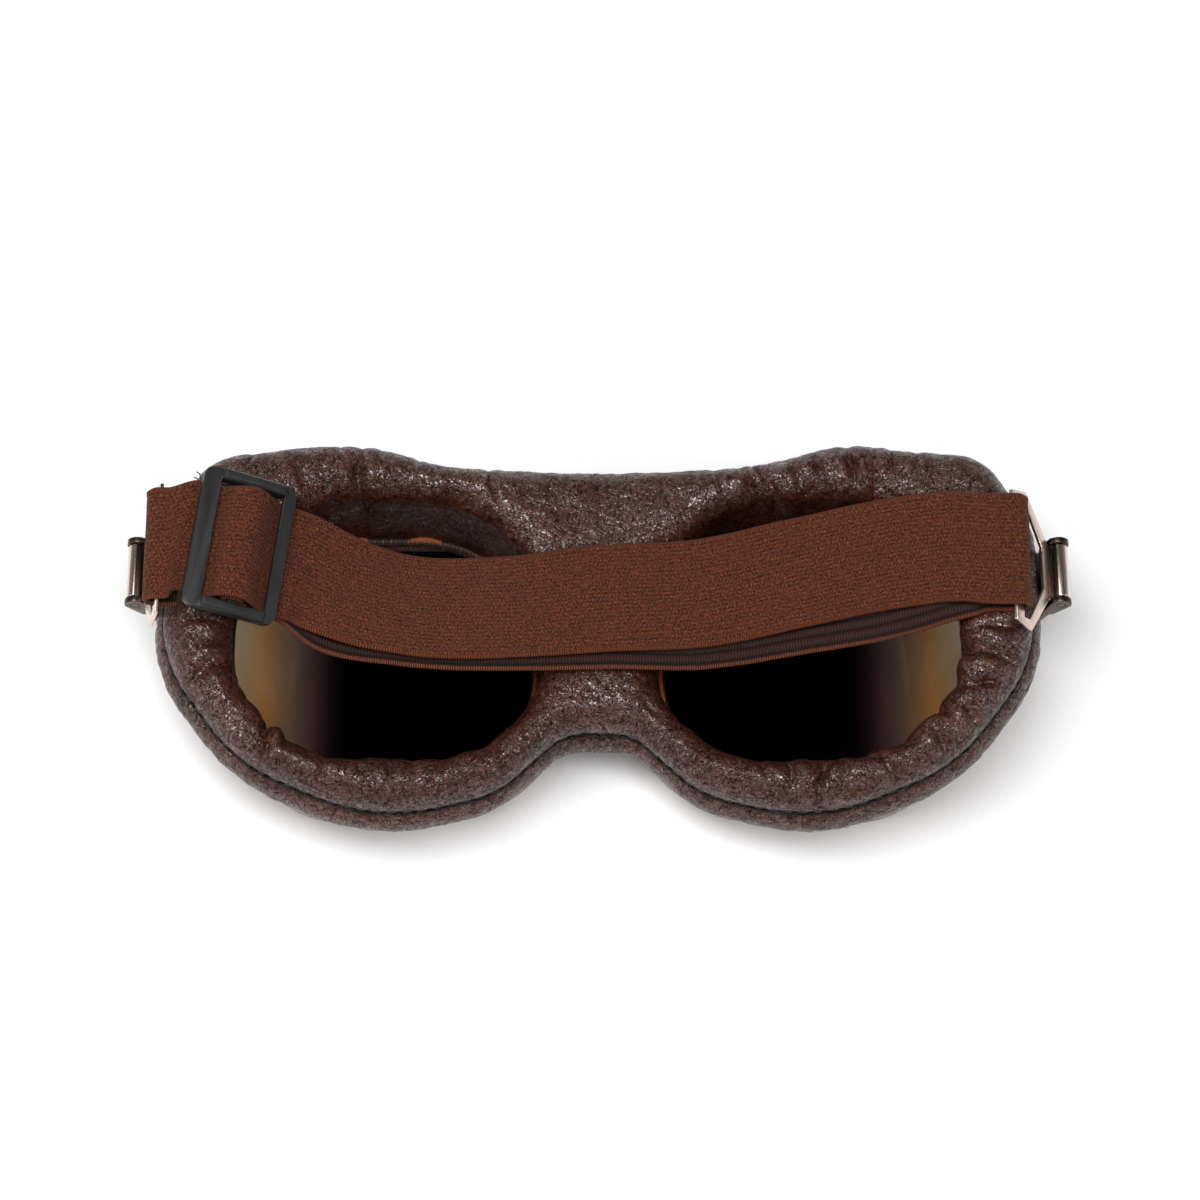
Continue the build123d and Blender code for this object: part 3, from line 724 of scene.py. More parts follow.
def skirtRows():
    rows = []
    ends = [s for s in sections if s["normal"] is not None and abs(s["outer"].x) < tiny]
    feet = sorted(seamRing(s, *skirtProfile(s)[-1]).y for s in ends)
    for section in sections:
        inner, direction = section["inner"], section["direction"]
        wall = padPoint(inner.x, inner.y, pad["underDrop"])
        under = wall.xy + direction * pad["underGap"]
        if section["normal"] is not None:
            row = [seamRing(section, *spot) for spot in skirtProfile(section)]
            pulls = list(skirtPulls)
        else:
            across = max(feet[0], min(feet[-1], section["outer"].y))
            row = [Vector((0.0, across, seatHeight(0.0))) for _ in skirtPulls]
            pulls = [0.0] * len(row)
        foot = row[-1]
        for k in range(1, pad["skirtSteps"] + 1):
            plan = foot.xy.lerp(under, k / pad["skirtSteps"])
            height = seatHeight(plan.x)
            row.append(Vector((plan.x, plan.y, height + (foot.z - height) * max(0.0, 1 - k / 2))))
            pulls.append(0.0)
        rows.append(list(zip(row, pulls)))
    return rows


# pinched folds read from the photograph: place, direction, width, length, depth
foldMarks = (
    (-66.7, -24.8, -103, 0.85, 6.2, 2.7), (-62.8, -23.9, -92, 0.7, 3.6, 0.9), (-80.7, -13.8, -126, 1.1, 5.1, 1.7),
    (-82.1, -17.6, -132, 0.7, 2.6, 0.9), (-49.7, 33.4, -87, 0.9, 7.9, 1.6), (-52.8, 36.8, -68, 0.6, 4.4, 0.7),
    (-44.2, 35.9, -63, 0.6, 5.7, 0.6), (-37.7, 37.1, -74, 0.5, 3.1, 0.8), (-22.4, 32.0, -87, 0.6, 4.3, 0.9),
    (52.8, 35.1, -88, 0.8, 6.2, 2.0), (58.0, 34.7, -89, 0.7, 5.0, 0.9), (31.7, 31.0, -63, 0.7, 6.4, 1.1),
    (34.8, 31.7, -66, 0.6, 6.3, 0.9), (25.2, 32.5, -66, 0.6, 4.5, 0.7), (41.3, 32.0, -73, 0.6, 4.7, 0.8),
    (66.5, 36.6, -105, 0.6, 4.7, 0.8), (46.2, 33.6, -82, 0.6, 4.6, 0.9), (61.0, 35.0, -97, 0.6, 4.5, 0.8),
    (81.7, -3.6, 10, 0.8, 4.5, 0.9), (78.5, -15.8, -10, 0.9, 4.4, 1.4), (74.9, -21.5, -41, 0.8, 4.7, 1.0),
    (80.7, -10.0, -11, 0.8, 4.5, 1.1), (45.2, -35.5, -96, 0.8, 3.9, 1.8), (39.6, -35.8, -86, 0.7, 4.2, 0.8),
    (34.4, -34.2, -77, 0.6, 4.7, 0.6), (-55.4, -33.4, -83, 0.7, 3.8, 0.9), (-47.6, -33.4, -83, 0.7, 3.8, 0.7),
    (-41.7, -33.8, -95, 0.6, 3.4, 0.6), (-32.6, -33.1, -96, 0.6, 3.4, 0.6), (-19.0, -30.3, -62, 0.7, 3.9, 0.6),
    (10.1, -18.2, -58, 0.7, 3.1, 0.7), (-80.5, -2.2, -175, 0.8, 5.2, 1.0), (-72.6, 36.1, 69, 0.7, 4.6, 0.7),
    (-62.1, 32.4, -78, 0.6, 3.9, 0.6), (-10.4, 31.9, -79, 0.7, 4.5, 0.5), (13.9, 31.3, -79, 0.7, 4.6, 0.5),
    (0.4, 29.0, -90, 0.9, 5.0, 0.4), (19.8, -29.2, -110, 0.7, 3.4, 0.6), (59.0, -32.9, -64, 0.8, 3.6, 0.9),
    (69.3, -27.3, -48, 0.8, 4.0, 0.9), (-9.0, -22.8, -119, 0.7, 2.7, 0.6),
)


folds = dict(near=300, bend=0.5, bendRate=0.4, pinch=1.5, shoulder=0.28, shoulderPlace=2.6, shoulderWidth=1.5)


def foldDepth(point):
    total = 0.0
    for x, y, heading, width, length, depth in foldMarks:
        dx, dy = point.x - x, point.y - y
        if dx * dx + dy * dy > folds["near"]:
            continue
        a = math.radians(heading)
        along = dx * math.cos(a) + dy * math.sin(a)
        across = dy * math.cos(a) - dx * math.sin(a)
        across = abs(across + folds["bend"] * math.sin(along * folds["bendRate"] + x))
        beside = (across - folds["shoulderPlace"] * width) / (folds["shoulderWidth"] * width)
        pinch = folds["pinch"] * math.exp(-across / width) - folds["shoulder"] * math.exp(-beside ** 2)
        total += depth * pinch * math.exp(-(along / length) ** 2)
    return total


# how close together and how high the leather's slow and quick unevenness lies
uneven = dict(slowRate=0.11, slowHigh=0.55, quickRate=0.34, quickHigh=0.22, apart=(7, 3, 1))


def wrinkle(point, strength):
    slow = noise.noise(point * uneven["slowRate"]) * uneven["slowHigh"]
    quick = noise.noise(point * uneven["quickRate"] + Vector(uneven["apart"])) * uneven["quickHigh"]
    return (slow + quick) * strength


def gatherWave(point, seed):
    # small gathers pulled in by the seam, uneven along it
    heading = math.atan2(point.y, point.x) * 60
    pull = noise.noise(Vector((heading * 0.8 + seed, 0.3, seed)))
    return math.sin(heading * 2 * math.pi / pad["gatherPitch"] + 3 * pull) * (0.5 + 0.5 * pull)


scallops = dict(height=3.4, level=0.22, wave=5.2, pull=0.66, spread=0.10)


def scallop(point):
    # the wall's edge bulges between its gathers, more at the temple than at the nose
    heading = math.atan2(point.y - eyeCentre.y, abs(point.x) - eyeCentre.x)
    side, reach = 1 if point.x > 0 else -1, scallops["wave"]
    wave = noise.noise(Vector((math.cos(heading) * reach, math.sin(heading) * reach, 3.0 + side * 2)))
    return (abs(wave) - scallops["level"]) * scallops["height"] * (0.55 + 0.45 * math.cos(heading))


def padMesh(rows):
    # both halves of the pad as one mesh, with the pull of each point
    verts, marks, lookup, faces = [], [], [], []
    for row in rows:
        lookup.append(range(len(verts), len(verts) + len(row)))
        verts += [point for point, pull in row]
        marks += [pull for point, pull in row]
    for here, there in zip(lookup, lookup[1:] + lookup[:1]):
        for c in range(min(len(here), len(there)) - 1):
            faces.append((here[c], there[c], there[c + 1], here[c + 1]))
    half = len(verts)
    verts += [Vector((-v.x, v.y, v.z)) for v in verts]
    faces += [tuple(i + half for i in reversed(face)) for face in faces]
    work = bmesh.new()
    layer = work.verts.layers.float.new("pull")
    made = [work.verts.new(v * mm) for v in verts]
    for vert, mark in zip(made, marks + marks):
        vert[layer] = mark
    for face in faces:
        work.faces.new([made[i] for i in face])
    bmesh.ops.remove_doubles(work, verts=work.verts, dist=0.000004)
    bmesh.ops.delete(work, geom=[f for f in work.faces if f.calc_area() < 1e-13], context="FACES")
    bmesh.ops.delete(work, geom=[v for v in work.verts if not v.link_faces], context="VERTS")
    bmesh.ops.recalc_face_normals(work, faces=work.faces)
    return work, layer


def settle(work, layer, name, push):
    # move every point along its normal by what push gives, then make the object
    work.normal_update()
    moves = [vert.normal * push(vert.co / mm, vert[layer]) * mm for vert in work.verts]
    for vert, move in zip(work.verts, moves):
        vert.co += move
    return objectFrom(work, name)


# from which share of the pull each move starts, and how strong it is
coverMoves = dict(wrinkle=0.7, seamFrom=0.86, seamOver=0.14, seamFold=0.7, foldFrom=0.5, foldOver=0.2,
                  leastFold=0.3, gatherFrom=0.55, underSeam=0.35)
skirtMoves = dict(wrinkle=0.4, fold=0.22)


def makeCover():
    work, layer = padMesh([coverRow(section) for section in sections])
    if max(work.faces, key=lambda f: f.calc_center_median().z).normal.z < 0:
        bmesh.ops.reverse_faces(work, faces=work.faces)

    moves = coverMoves

    def push(point, pull):
        atSeam = 1 - moves["seamFold"] * max(0.0, (pull - moves["seamFrom"]) / moves["seamOver"])
        atWall = max(moves["leastFold"], min(1.0, (pull - moves["foldFrom"]) / moves["foldOver"]))
        lift = wrinkle(point, moves["wrinkle"]) - foldDepth(point) * atSeam * atWall
        lift += scallop(point) * math.exp(-((pull - scallops["pull"]) / scallops["spread"]) ** 2)
        lift += gatherWave(point, 4.0) * pad["gatherDepth"] * max(0.0, pull - moves["gatherFrom"])
        return lift * (1.0 if pull < 0.999 else moves["underSeam"])

    return settle(work, layer, "padCover", push)


def makeSkirt():
    work, layer = padMesh(skirtRows())
    upright = (f for f in work.faces if abs(f.normal.z) < 0.4)
    if max(upright, key=lambda f: f.calc_center_median().x).normal.x < 0:
        bmesh.ops.reverse_faces(work, faces=work.faces)

    def push(point, pull):
        lift = wrinkle(point + Vector((0, 0, 31)), skirtMoves["wrinkle"])
        lift += gatherWave(point, 9.0) * pad["gatherDepth"]
        return (lift - foldDepth(point) * skirtMoves["fold"]) * pull

    return settle(work, layer, "padSkirt", push)


padCover = finishPiece(makeCover(), padLeather, "goggles")
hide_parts("face_pad_cover", "foam_core")
padSkirt = finishPiece(makeSkirt(), skirtLitLeather, "goggles")
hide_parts("side_skirt")
print("pad made")


seam = dict(inset=1.75, drop=7.25, radius=0.42, step=0.31, stitchPitch=3.1, stitchLength=2.2,
            stitchRadius=0.2, stitchInset=1.63, stitchDrop=6.1, stitchSink=0.35)


def seamLoop(inset, drop):
    start = next(k for k, s in enumerate(sections) if abs(s["angle"] - bottomAngle) < tiny)
    ordered = sections[start:] + sections[:start]
    right = [seamRing(s, inset, drop) for s in ordered if s["normal"] is not None]
    left = [Vector((-p.x, p.y, p.z)) for p in reversed(right)]
    return right + left[1:-1]


def evenLoop(points, step):
    total = sum((points[(k + 1) % len(points)] - points[k]).length for k in range(len(points)))
    count = round(total / step)
    spacing = total / count
    result, travelled, target = [], 0.0, 0.0
    for k in range(len(points)):
        a, b = points[k], points[(k + 1) % len(points)]
        length = (b - a).length
        while target < travelled + length - 1e-9 and len(result) < count:
            result.append(a.lerp(b, (target - travelled) / length))
            target += spacing
        travelled += length
    return result


def inMetres(points):
    return [p * mm for p in points]


def makeSeam():
    line = evenLoop(seamLoop(seam["inset"], seam["drop"]), 1.0)
    piping = newMesh("seamPiping", *tubeAlong(inMetres(line), seam["radius"] * mm, 10, closed=True))
    side = evenLoop(seamLoop(seam["stitchInset"], seam["stitchDrop"]), seam["step"])
    run, length = (round(seam[key] / seam["step"]) for key in ("stitchPitch", "stitchLength"))
    parts = []
    for start in range(0, len(side) - run, run):
        dash = side[start:start + length]
        last = len(dash) - 1
        sunk = [p - Vector((p.x, p.y, 0)).normalized() * seam["stitchSink"] * abs(2 * k / last - 1) ** 4
                for k, p in enumerate(dash)]
        parts.append(tubeAlong(inMetres(sunk), seam["stitchRadius"] * mm, 6))
    return piping, newMesh("seamStitches", *gather(parts))


seamPiping, seamStitches = makeSeam()
finishPiece(seamPiping, shadedWeltLeather, "goggles")
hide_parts("seam_welt")
finishPiece(seamStitches, blackThread, "goggles")
print("seam made")


def bentSweep(name, profile):
    # profile: closed, of (reach from the eye opening, depth behind the bent front)
    points, normals = roundedBox(*form["eyeOpening"], perCorner=30, perSide=12)
    verts = []
    for p, n in zip(points, normals):
        for reach, depth in profile:
            plan = p + n * reach
            verts.append(Vector((plan.x, plan.y, bentHeight(plan.x, depth))) * mm)
    return newMesh(name, verts, gridFaces(len(points), len(profile), True, True))


def roundedProfile(corners, radius, steps=4):
    # closed profile with its corners rounded
    result = []
    count = len(corners)
    for k in range(count):
        before, corner, after = (Vector(corners[k - 1]), Vector(corners[k]), Vector(corners[(k + 1) % count]))
        a = (before - corner).normalized()
        b = (after - corner).normalized()
        cut = min(radius, (before - corner).length * 0.45, (after - corner).length * 0.45)
        for s in range(steps + 1):
            t = s / steps
            start, end = corner + a * cut, corner + b * cut
            result.append(tuple(start.lerp(corner, t).lerp(corner.lerp(end, t), t)))
    return result


rimLook = dict(reach=4.4, lip=-1.0, pocket=2.4, lipDepth=1.2, edge=0.4, dome=2.6, lensReach=2.3)


def makeRim():
    reach, depth, dome = rimLook["reach"], form["rimDepth"], rimLook["dome"]
    arc = [(reach - dome + dome * math.sin(k * math.pi / 16), dome - dome * math.cos(k * math.pi / 16))
           for k in range(9)]
    back = [(reach, depth), (rimLook["pocket"], depth), (rimLook["pocket"], rimLook["lipDepth"]),
            (rimLook["lip"], rimLook["lipDepth"]), (rimLook["lip"], 0.0)]
    rounded = roundedProfile([arc[-1]] + back + [arc[0]], rimLook["edge"])
    return bentSweep("rightRim", arc[1:-1] + rounded[5:-5])


# reach from the eye opening, depth behind the bent front, rounded edge
padRing = dict(inner=-1.0, outer=2.35, front=3.1, back=5.7, edge=0.4)
feltRing = dict(inner=-1.6, outer=2.35, front=5.75, back=6.75, edge=0.3)


def ringPiece(name, inner, outer, front, back, edge):
    corners = [(inner, front), (outer, front), (outer, back), (inner, back)]
    return bentSweep(name, roundedProfile(corners, edge, 3))


def makeLens():
    # bent sheet: rings shrinking from the outline to the middle
    points, normals = roundedBox(*form["eyeOpening"], perCorner=30, perSide=12)
    outer = [p + n * rimLook["lensReach"] for p, n in zip(points, normals)]
    centre = Vector(form["eyeOpening"][:2])
    rings, count = 26, len(outer)
    verts, faces = [], []
    for depth in (form["lensFront"], form["lensBack"]):
        start = len(verts)
        plans = [centre + (p - centre) * (1 - r / rings) for r in range(rings) for p in outer] + [centre]
        verts += [Vector((plan.x, plan.y, bentHeight(plan.x, depth))) * mm for plan in plans]
        middle = len(verts) - 1
        last = middle - count
        faces += gridFaces(rings, count, False, True, start)
        faces += [(last + k, middle, last + (k + 1) % count) for k in range(count)]
    second = rings * count + 1
    for k in range(count):
        faces.append((k, (k + 1) % count, second + (k + 1) % count, second + k))
    lens = newMesh("rightLens", verts, faces)
    fixNormals(lens)
    lens.data.set_sharp_from_angle(angle=math.radians(50))
    return lens


def pairUp(piece, leftName, material, part):
    fixNormals(piece)
    for twin, side in ((piece, "right"), (mirrored(piece, leftName), "left")):
        finishPiece(twin, material, "goggles")
        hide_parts(f"{side}_{part}")


pairUp(makeRim(), "leftRim", bronzeRim, "rim")
pairUp(makeLens(), "leftLens", smokeLens, "lens")
pairUp(ringPiece("rightPadRing", **padRing), "leftPadRing", blackRing, "pad_ring")
pairUp(ringPiece("rightFelt", **feltRing), "leftFelt", felt, "felt_ring")
print("rims and lenses made")


binding = dict(pitch=0.9, height=2.0, uneven=0.12, slant=(0.25, 0.45), threadRadius=0.3, wallDrop=21.0,
               inset=0.2, seed=11, band=((0.0, 0.0), (0.8, 0.0), (0.9, 1.2), (0.35, 1.9), (-0.2, 1.9)))


def wallPlan(p, n, inset):
    # where the opening's wall meets the felt, a little inside it
    return padPoint(p.x - n.x * inset, p.y - n.y * inset, binding["wallDrop"])


def makeBinding():
    points, normals = roundedBox(*form["padOpening"], perCorner=60, perSide=24)
    lows = [wallPlan(p, n, binding["inset"]) for p, n in zip(points, normals)]
    loop = evenLoop([Vector((low.x, low.y, seatHeight(low.x))) for low in lows], binding["pitch"])
    up = Vector((0, 0, 1))
    rng = random.Random(binding["seed"])
    parts, bandVerts = [], []
    for k, p in enumerate(loop):
        along = (loop[(k + 1) % len(loop)] - loop[k - 1]).normalized()
        inward = Vector((-along.y, along.x, 0)).normalized()
        if inward.xy.dot(eyeCentre - p.xy) < 0:
            inward = -inward
        high = binding["height"] + rng.uniform(-binding["uneven"], binding["uneven"])
        slant = along * rng.uniform(*binding["slant"])
        path = [p + inward * 0.1, p + inward * 0.95 + up * 0.15,
                p + inward * 1.05 + slant * 0.6 + up * high * 0.6,
                p + inward * 0.5 + slant + up * high, p - inward * 0.1 + slant + up * (high + 0.1)]
        parts.append(tubeAlong(inMetres(path), binding["threadRadius"] * mm, 6))
        bandVerts += [(p + inward * reach + up * rise) * mm for reach, rise in binding["band"]]
    threads = newMesh("rightOverlockThreads", *gather(parts))
    band = newMesh("rightBindingBand", bandVerts, gridFaces(len(loop), len(binding["band"]), True, True))
    return band, threads


bindingBand, overlockThreads = makeBinding()
pairUp(bindingBand, "leftBindingBand", brownThread, "edge_binding")
for twin in (overlockThreads, mirrored(overlockThreads, "leftOverlockThreads")):
    finishPiece(twin, blackThread, "goggles")

# felt that shows between band and leather: heading round the lens, half span and height
feltLips = dict(
    right=((187, 14, 0.9), (215, 10, 0.6), (279, 8, 1.0), (296, 5, 0.6), (100, 12, 0.7)),
    left=((75, 7, 1.1), (106, 8, 1.1), (196, 14, 1.0), (222, 9, 0.6), (160, 8, 0.6)),
    inset=0.35, foot=0.3, high=1.7, ragged=0.3, raggedRate=1.7, inner=-0.45, outer=0.35,
)


def makeFeltLips(side):
    opening, rate = form["padOpening"], feltLips["raggedRate"]
    inner, outer = feltLips["inner"], feltLips["outer"]
    points, normals = roundedBox(*opening, perCorner=60, perSide=24)
    parts = []
    for heading, reach, high in feltLips[side]:
        chosen = []
        for p, n in zip(points, normals):
            turn = (math.degrees(math.atan2(p.y - opening[1], p.x - opening[0])) - heading + 180) % 360 - 180
            if abs(turn) < reach:
                chosen.append((turn, p, n, 1 - (turn / reach) ** 2))
        verts = []
        for turn, p, n, rise in sorted(chosen, key=lambda item: item[0]):
            plan = wallPlan(p, n, feltLips["inset"])
            foot = bentHeight(plan.x, form["feltBack"]) + feltLips["foot"]
            ragged = feltLips["ragged"] * noise.noise(Vector((plan.x * rate, plan.y * rate, high)))
            top = foot + feltLips["high"] + (high + ragged) * rise
            for across, z in ((inner, foot), (outer, foot), (outer, top), (inner, top)):
                verts.append(Vector((plan.x + n.x * across, plan.y + n.y * across, z)) * mm)
        last = len(verts) - 4
        ends = [(0, 1, 2, 3), (last + 3, last + 2, last + 1, last)]
        parts.append((verts, gridFaces(len(chosen), 4, False, True) + ends))
    lips = newMesh(f"{side}FeltLips", *gather(parts))
    fixNormals(lips)
    if side == "left":
        lips.data.transform(Matrix.Scale(-1, 4, (1, 0, 0)))
        lips.data.flip_normals()
    return lips


for side in ("right", "left"):
    finishPiece(makeFeltLips(side), felt, "goggles")
print("bindings made")


rounding = dict(lug=0.22, bar=0.2, hook=0.22, bridge=0.3, slider=0.3)

for side in ("left", "right"):
    lug = softened(f"{side}_side_lug", f"{side}Lug", rounding["lug"])
    finishPiece(lug, darkBronze, "goggles")
    bar = softened(f"{side}_hook_bar", f"{side}HookBar", rounding["bar"])
    finishPiece(bar, darkBronze, "goggles")
    hook = softened(f"{side}_strap_hook", f"{side}Hook", rounding["hook"])
    finishPiece(hook, polishedBronze, f"{side}_hook")
noseBridge = softened("nose_bridge", "noseBridge", rounding["bridge"])
finishPiece(noseBridge, bronzeRim, "goggles")
strapSlider = softened("slider", "strapSlider", rounding["slider"])
finishPiece(strapSlider, blackMoulding, "strap_slider")

fittings = dict(
    screw=(3.35, -0.85, 2.37), screwRadius=1.45, screwHigh=0.65, slotWidth=0.42, slotDepth=0.3, slotTurn=0.6,
    rivet=(86.6, 10.55, 15.62), rivetRadius=1.35, rivetHigh=0.7,
    tabLow=(2.0, -5.35, 3.7), tabHigh=(6.8, 3.65, 5.1), tabEdge=0.25,
    headFlatShare=0.86, headSideShare=0.7, headRingShares=(0.7, 0.5, 0.3, 0.15),
)


def boxMesh(name, low, high, bevel=0.0, turn=0.0):
    # box between two corners, turned about Z through the middle of its plan, with round edges
    work = bmesh.new()
    bmesh.ops.create_cube(work, size=1)
    middle = (Vector(low) + Vector(high)) / 2
    for vert in work.verts:
        spot = Vector(vert.co[i] * (high[i] - low[i]) for i in range(3))
        vert.co = (middle + Matrix.Rotation(turn, 3, "Z") @ spot) * mm
    if bevel:
        bmesh.ops.bevel(work, geom=work.edges[:], offset=bevel * mm, segments=3, profile=0.5, affect="EDGES")
    return objectFrom(work, name)


def turnedHead(name, centre, radius, high, slot=0.0):
    # low domed head that faces the table, slotted across if slot is given
    steps, rings = 48, 8
    flat, side = fittings["headFlatShare"], fittings["headSideShare"]
    profile = [(radius, 0.0)]
    for k in range(rings + 1):
        angle = math.pi / 2 * k / rings
        reach = flat + (1 - flat) * math.cos(angle) if k < rings else flat
        profile.append((radius * reach, -high * side * math.sin(angle)))
    for share in fittings["headRingShares"]:
        profile.append((radius * share, -high * (side + (1 - side) * (1 - share ** 2))))
    verts = []
    for r, z in profile:
        for k in range(steps):
            angle = 2 * math.pi * k / steps
            spot = (centre[0] + r * math.cos(angle), centre[1] + r * math.sin(angle), centre[2] + z)
            verts.append(Vector(spot))
    last = len(verts) - steps
    faces = gridFaces(len(profile), steps, False, True)
    faces += [(last + k, last + (k + 1) % steps, len(verts)) for k in range(steps)]
    verts.append(Vector((centre[0], centre[1], centre[2] - high)))
    head = newMesh(name, inMetres(verts), faces)
    fixNormals(head)
    if slot:
        half = Vector((slot / 2, radius * 1.2, 0))
        foot = Vector(centre) - Vector((0, 0, high))
        low, up = foot - half - Vector((0, 0, 0.5)), foot + half + Vector((0, 0, fittings["slotDepth"]))
        cutter = boxMesh(name + "Cut", low, up, turn=fittings["slotTurn"] * centre[0])
        cut = head.modifiers.new("slot", "BOOLEAN")
        cut.object = cutter
        cut.solver = "EXACT"
        shown = bpy.context.evaluated_depsgraph_get()
        mesh = bpy.data.meshes.new_from_object(head.evaluated_get(shown))
        head.modifiers.clear()
        head.data = mesh
        bpy.data.objects.remove(cutter)
    head.data.set_sharp_from_angle(angle=math.radians(40))
    return head


def makeFittings(sign, side):
    def placed(key):
        x, y, z = fittings[key]
        return sign * x, y, z

    screw = turnedHead(f"{side}BridgeScrew", placed("screw"), fittings["screwRadius"], fittings["screwHigh"],
                       fittings["slotWidth"])
    finishPiece(screw, bronzeRim, "goggles")
    rivet = turnedHead(f"{side}LugRivet", placed("rivet"), fittings["rivetRadius"], fittings["rivetHigh"])
    finishPiece(rivet, darkBronze, "goggles")
    corners = list(zip(placed("tabLow"), placed("tabHigh")))
    tab = boxMesh(f"{side}BridgeTab", [min(pair) for pair in corners], [max(pair) for pair in corners],
                  fittings["tabEdge"])
    finishPiece(tab, bronzeRim, "goggles")


makeFittings(1, "right")
makeFittings(-1, "left")
print("fittings made")


# the layers' places as shares of the pad's half width, the eye opening's half height and the strap's height,
# each with its roll in degrees
strap = dict(
    width=24.6,
    thickness=1.3,
    step=1.1,
    across=40,
    selvage=0.55,
    beads=((0.10, 0.8), (-0.05, 1.9)),
    beadWidth=0.5,
    waver=0.25,
    waverRate=0.05,
    ripple=0.12,
    rippleRate=(0.16, 0.12),
    fadeSteps=8,
    threadRadius=0.13,
    upper=(
        (-0.628, 0.268, 0.907, 8), (-0.546, 0.171, 0.876, 11), (-0.448, 0.106, 0.851, 12),
        (-0.219, 0.071, 0.866, 10), (0.0, 0.147, 0.858, 4), (0.230, 0.188, 0.846, 3),
        (0.459, 0.333, 0.868, 2), (0.689, 0.447, 0.957, 0), (0.820, 0.440, 1.050, 0),
    ),
    lower=(
        (-0.628, 0.161, 0.832, 10), (-0.448, 0.047, 0.790, 12), (-0.219, 0.006, 0.812, 10),
        (0.0, 0.040, 0.808, 4), (0.230, 0.054, 0.790, 3), (0.459, 0.161, 0.800, 2),
        (0.689, 0.264, 0.905, 0), (0.820, 0.350, 0.985, 0),
    ),
    height=38.8,
    endY=11.3,
)
hinge = dict(x=95.5, y=10.55, z=31.5, reach=13.5, curlMiddle=1.48, foldMiddle=2.135)
sliderPlace = dict(centre=(-73.3, 11.75, 43.0), yaw=math.radians(-7.4), tilt=math.radians(24.0))


def strapRoute(shares):
    scale = (form["padHalfWidth"], form["eyeOpening"][3], strap["height"])
    places = [Vector(share * size for share, size in zip(spot, scale)) for spot in shares]
    stations = []
    for k, place in enumerate(places):
        ahead, behind = places[min(k + 1, len(places) - 1)], places[max(k - 1, 0)]
        yaw = math.degrees(math.atan2(ahead.y - behind.y, ahead.x - behind.x))
        stations.append((place, -shares[k][3], yaw))
    return stations


def onSlider(along, square):
    yaw, tilt = sliderPlace["yaw"], sliderPlace["tilt"]
    alongDir = Vector((math.cos(tilt) * math.cos(yaw), math.cos(tilt) * math.sin(yaw), -math.sin(tilt)))
    squareDir = Vector((math.sin(tilt) * math.cos(yaw), math.sin(tilt) * math.sin(yaw), math.cos(tilt)))
    return Vector(sliderPlace["centre"]) + alongDir * along + squareDir * square


def barCentre(side, tiltDegrees):
    tilt = math.radians(tiltDegrees)
    along = Vector((-side * math.cos(tilt), 0, math.sin(tilt)))
    square = Vector((side * math.sin(tilt), 0, math.cos(tilt)))
    pin = Vector((side * hinge["x"], hinge["y"], hinge["z"]))
    return pin + along * hinge["reach"] - square * hinge["curlMiddle"]


def smoothPath(stations, step):
    # even points with their roll and yaw along a Catmull-Rom curve through the stations
    result = []
    places, rolls, yaws = zip(*stations)
    count = len(places)
    for k in range(count - 1):
        p1, p2 = places[k], places[k + 1]
        p0 = places[k - 1] if k > 0 else p1 + (p1 - p2)
        p3 = places[k + 2] if k + 2 < count else p2 + (p2 - p1)
        length = (p2 - p1).length
        d0 = max((p1 - p0).length, 1e-6)
        d2 = max((p3 - p2).length, 1e-6)
        m1 = ((p2 - p1) * d0 / length + (p1 - p0) * length / d0) / (d0 + length) * length
        m2 = ((p3 - p2) * length / d2 + (p2 - p1) * d2 / length) / (d2 + length) * length
        pieces = max(1, round(length / step))
        for s in range(pieces):
            t = s / pieces
            point = (p1 * (2 * t ** 3 - 3 * t ** 2 + 1) + m1 * (t ** 3 - 2 * t ** 2 + t)
                     + p2 * (-2 * t ** 3 + 3 * t ** 2) + m2 * (t ** 3 - t ** 2))
            ease = t * t * (3 - 2 * t)
            roll, yaw = (turns[k] + (turns[k + 1] - turns[k]) * ease for turns in (rolls, yaws))
            result.append((point, roll, yaw))
    return result + [stations[-1]]


def strapProfile():
    # closed cross-section: rounded selvages, slightly dished face
    half, selvage, count = strap["width"] / 2, strap["selvage"], strap["across"]
    upper = []
    for k in range(count + 1):
        v = -half + strap["width"] * k / count
        fromEdge = half - abs(v)
        thin = 1.0
        if fromEdge < selvage:
            thin = math.sqrt(max(0.0, 1 - ((selvage - fromEdge) / selvage) ** 2))
        bead = sum(high * math.exp(-((fromEdge - place) / strap["beadWidth"]) ** 2)
                   for high, place in strap["beads"])
        upper.append((v, strap["thickness"] / 2 * thin + (bead if thin > 0.5 else 0)))
    return upper + [(v, -h) for v, h in upper[-2:0:-1]]


def framedPath(path, waver=strap["waver"], seed=1.0, uStart=0.0):
    # stations with their own axes, so that pieces cut from one path meet exactly
    stations, travelled, count, fadeSteps = [], uStart, len(path), strap["fadeSteps"]
    for k, (point, roll, yaw) in enumerate(path):
        tangent = (path[min(k + 1, count - 1)][0] - path[max(k - 1, 0)][0]).normalized()
        if k:
            travelled += (point - path[k - 1][0]).length
        heading = math.radians(yaw)
        across = Vector((-math.sin(heading), math.cos(heading), 0))
        across = Matrix.Rotation(math.radians(roll), 3, tangent) @ across
        fade = min(1.0, k / fadeSteps, (count - 1 - k) / fadeSteps)
        shift = waver * fade * noise.noise(Vector((travelled * strap["waverRate"], seed, 0)))
        normal = tangent.cross(across).normalized()
        stations.append((point + across * shift, across, normal, travelled, fade, seed))
    return stations


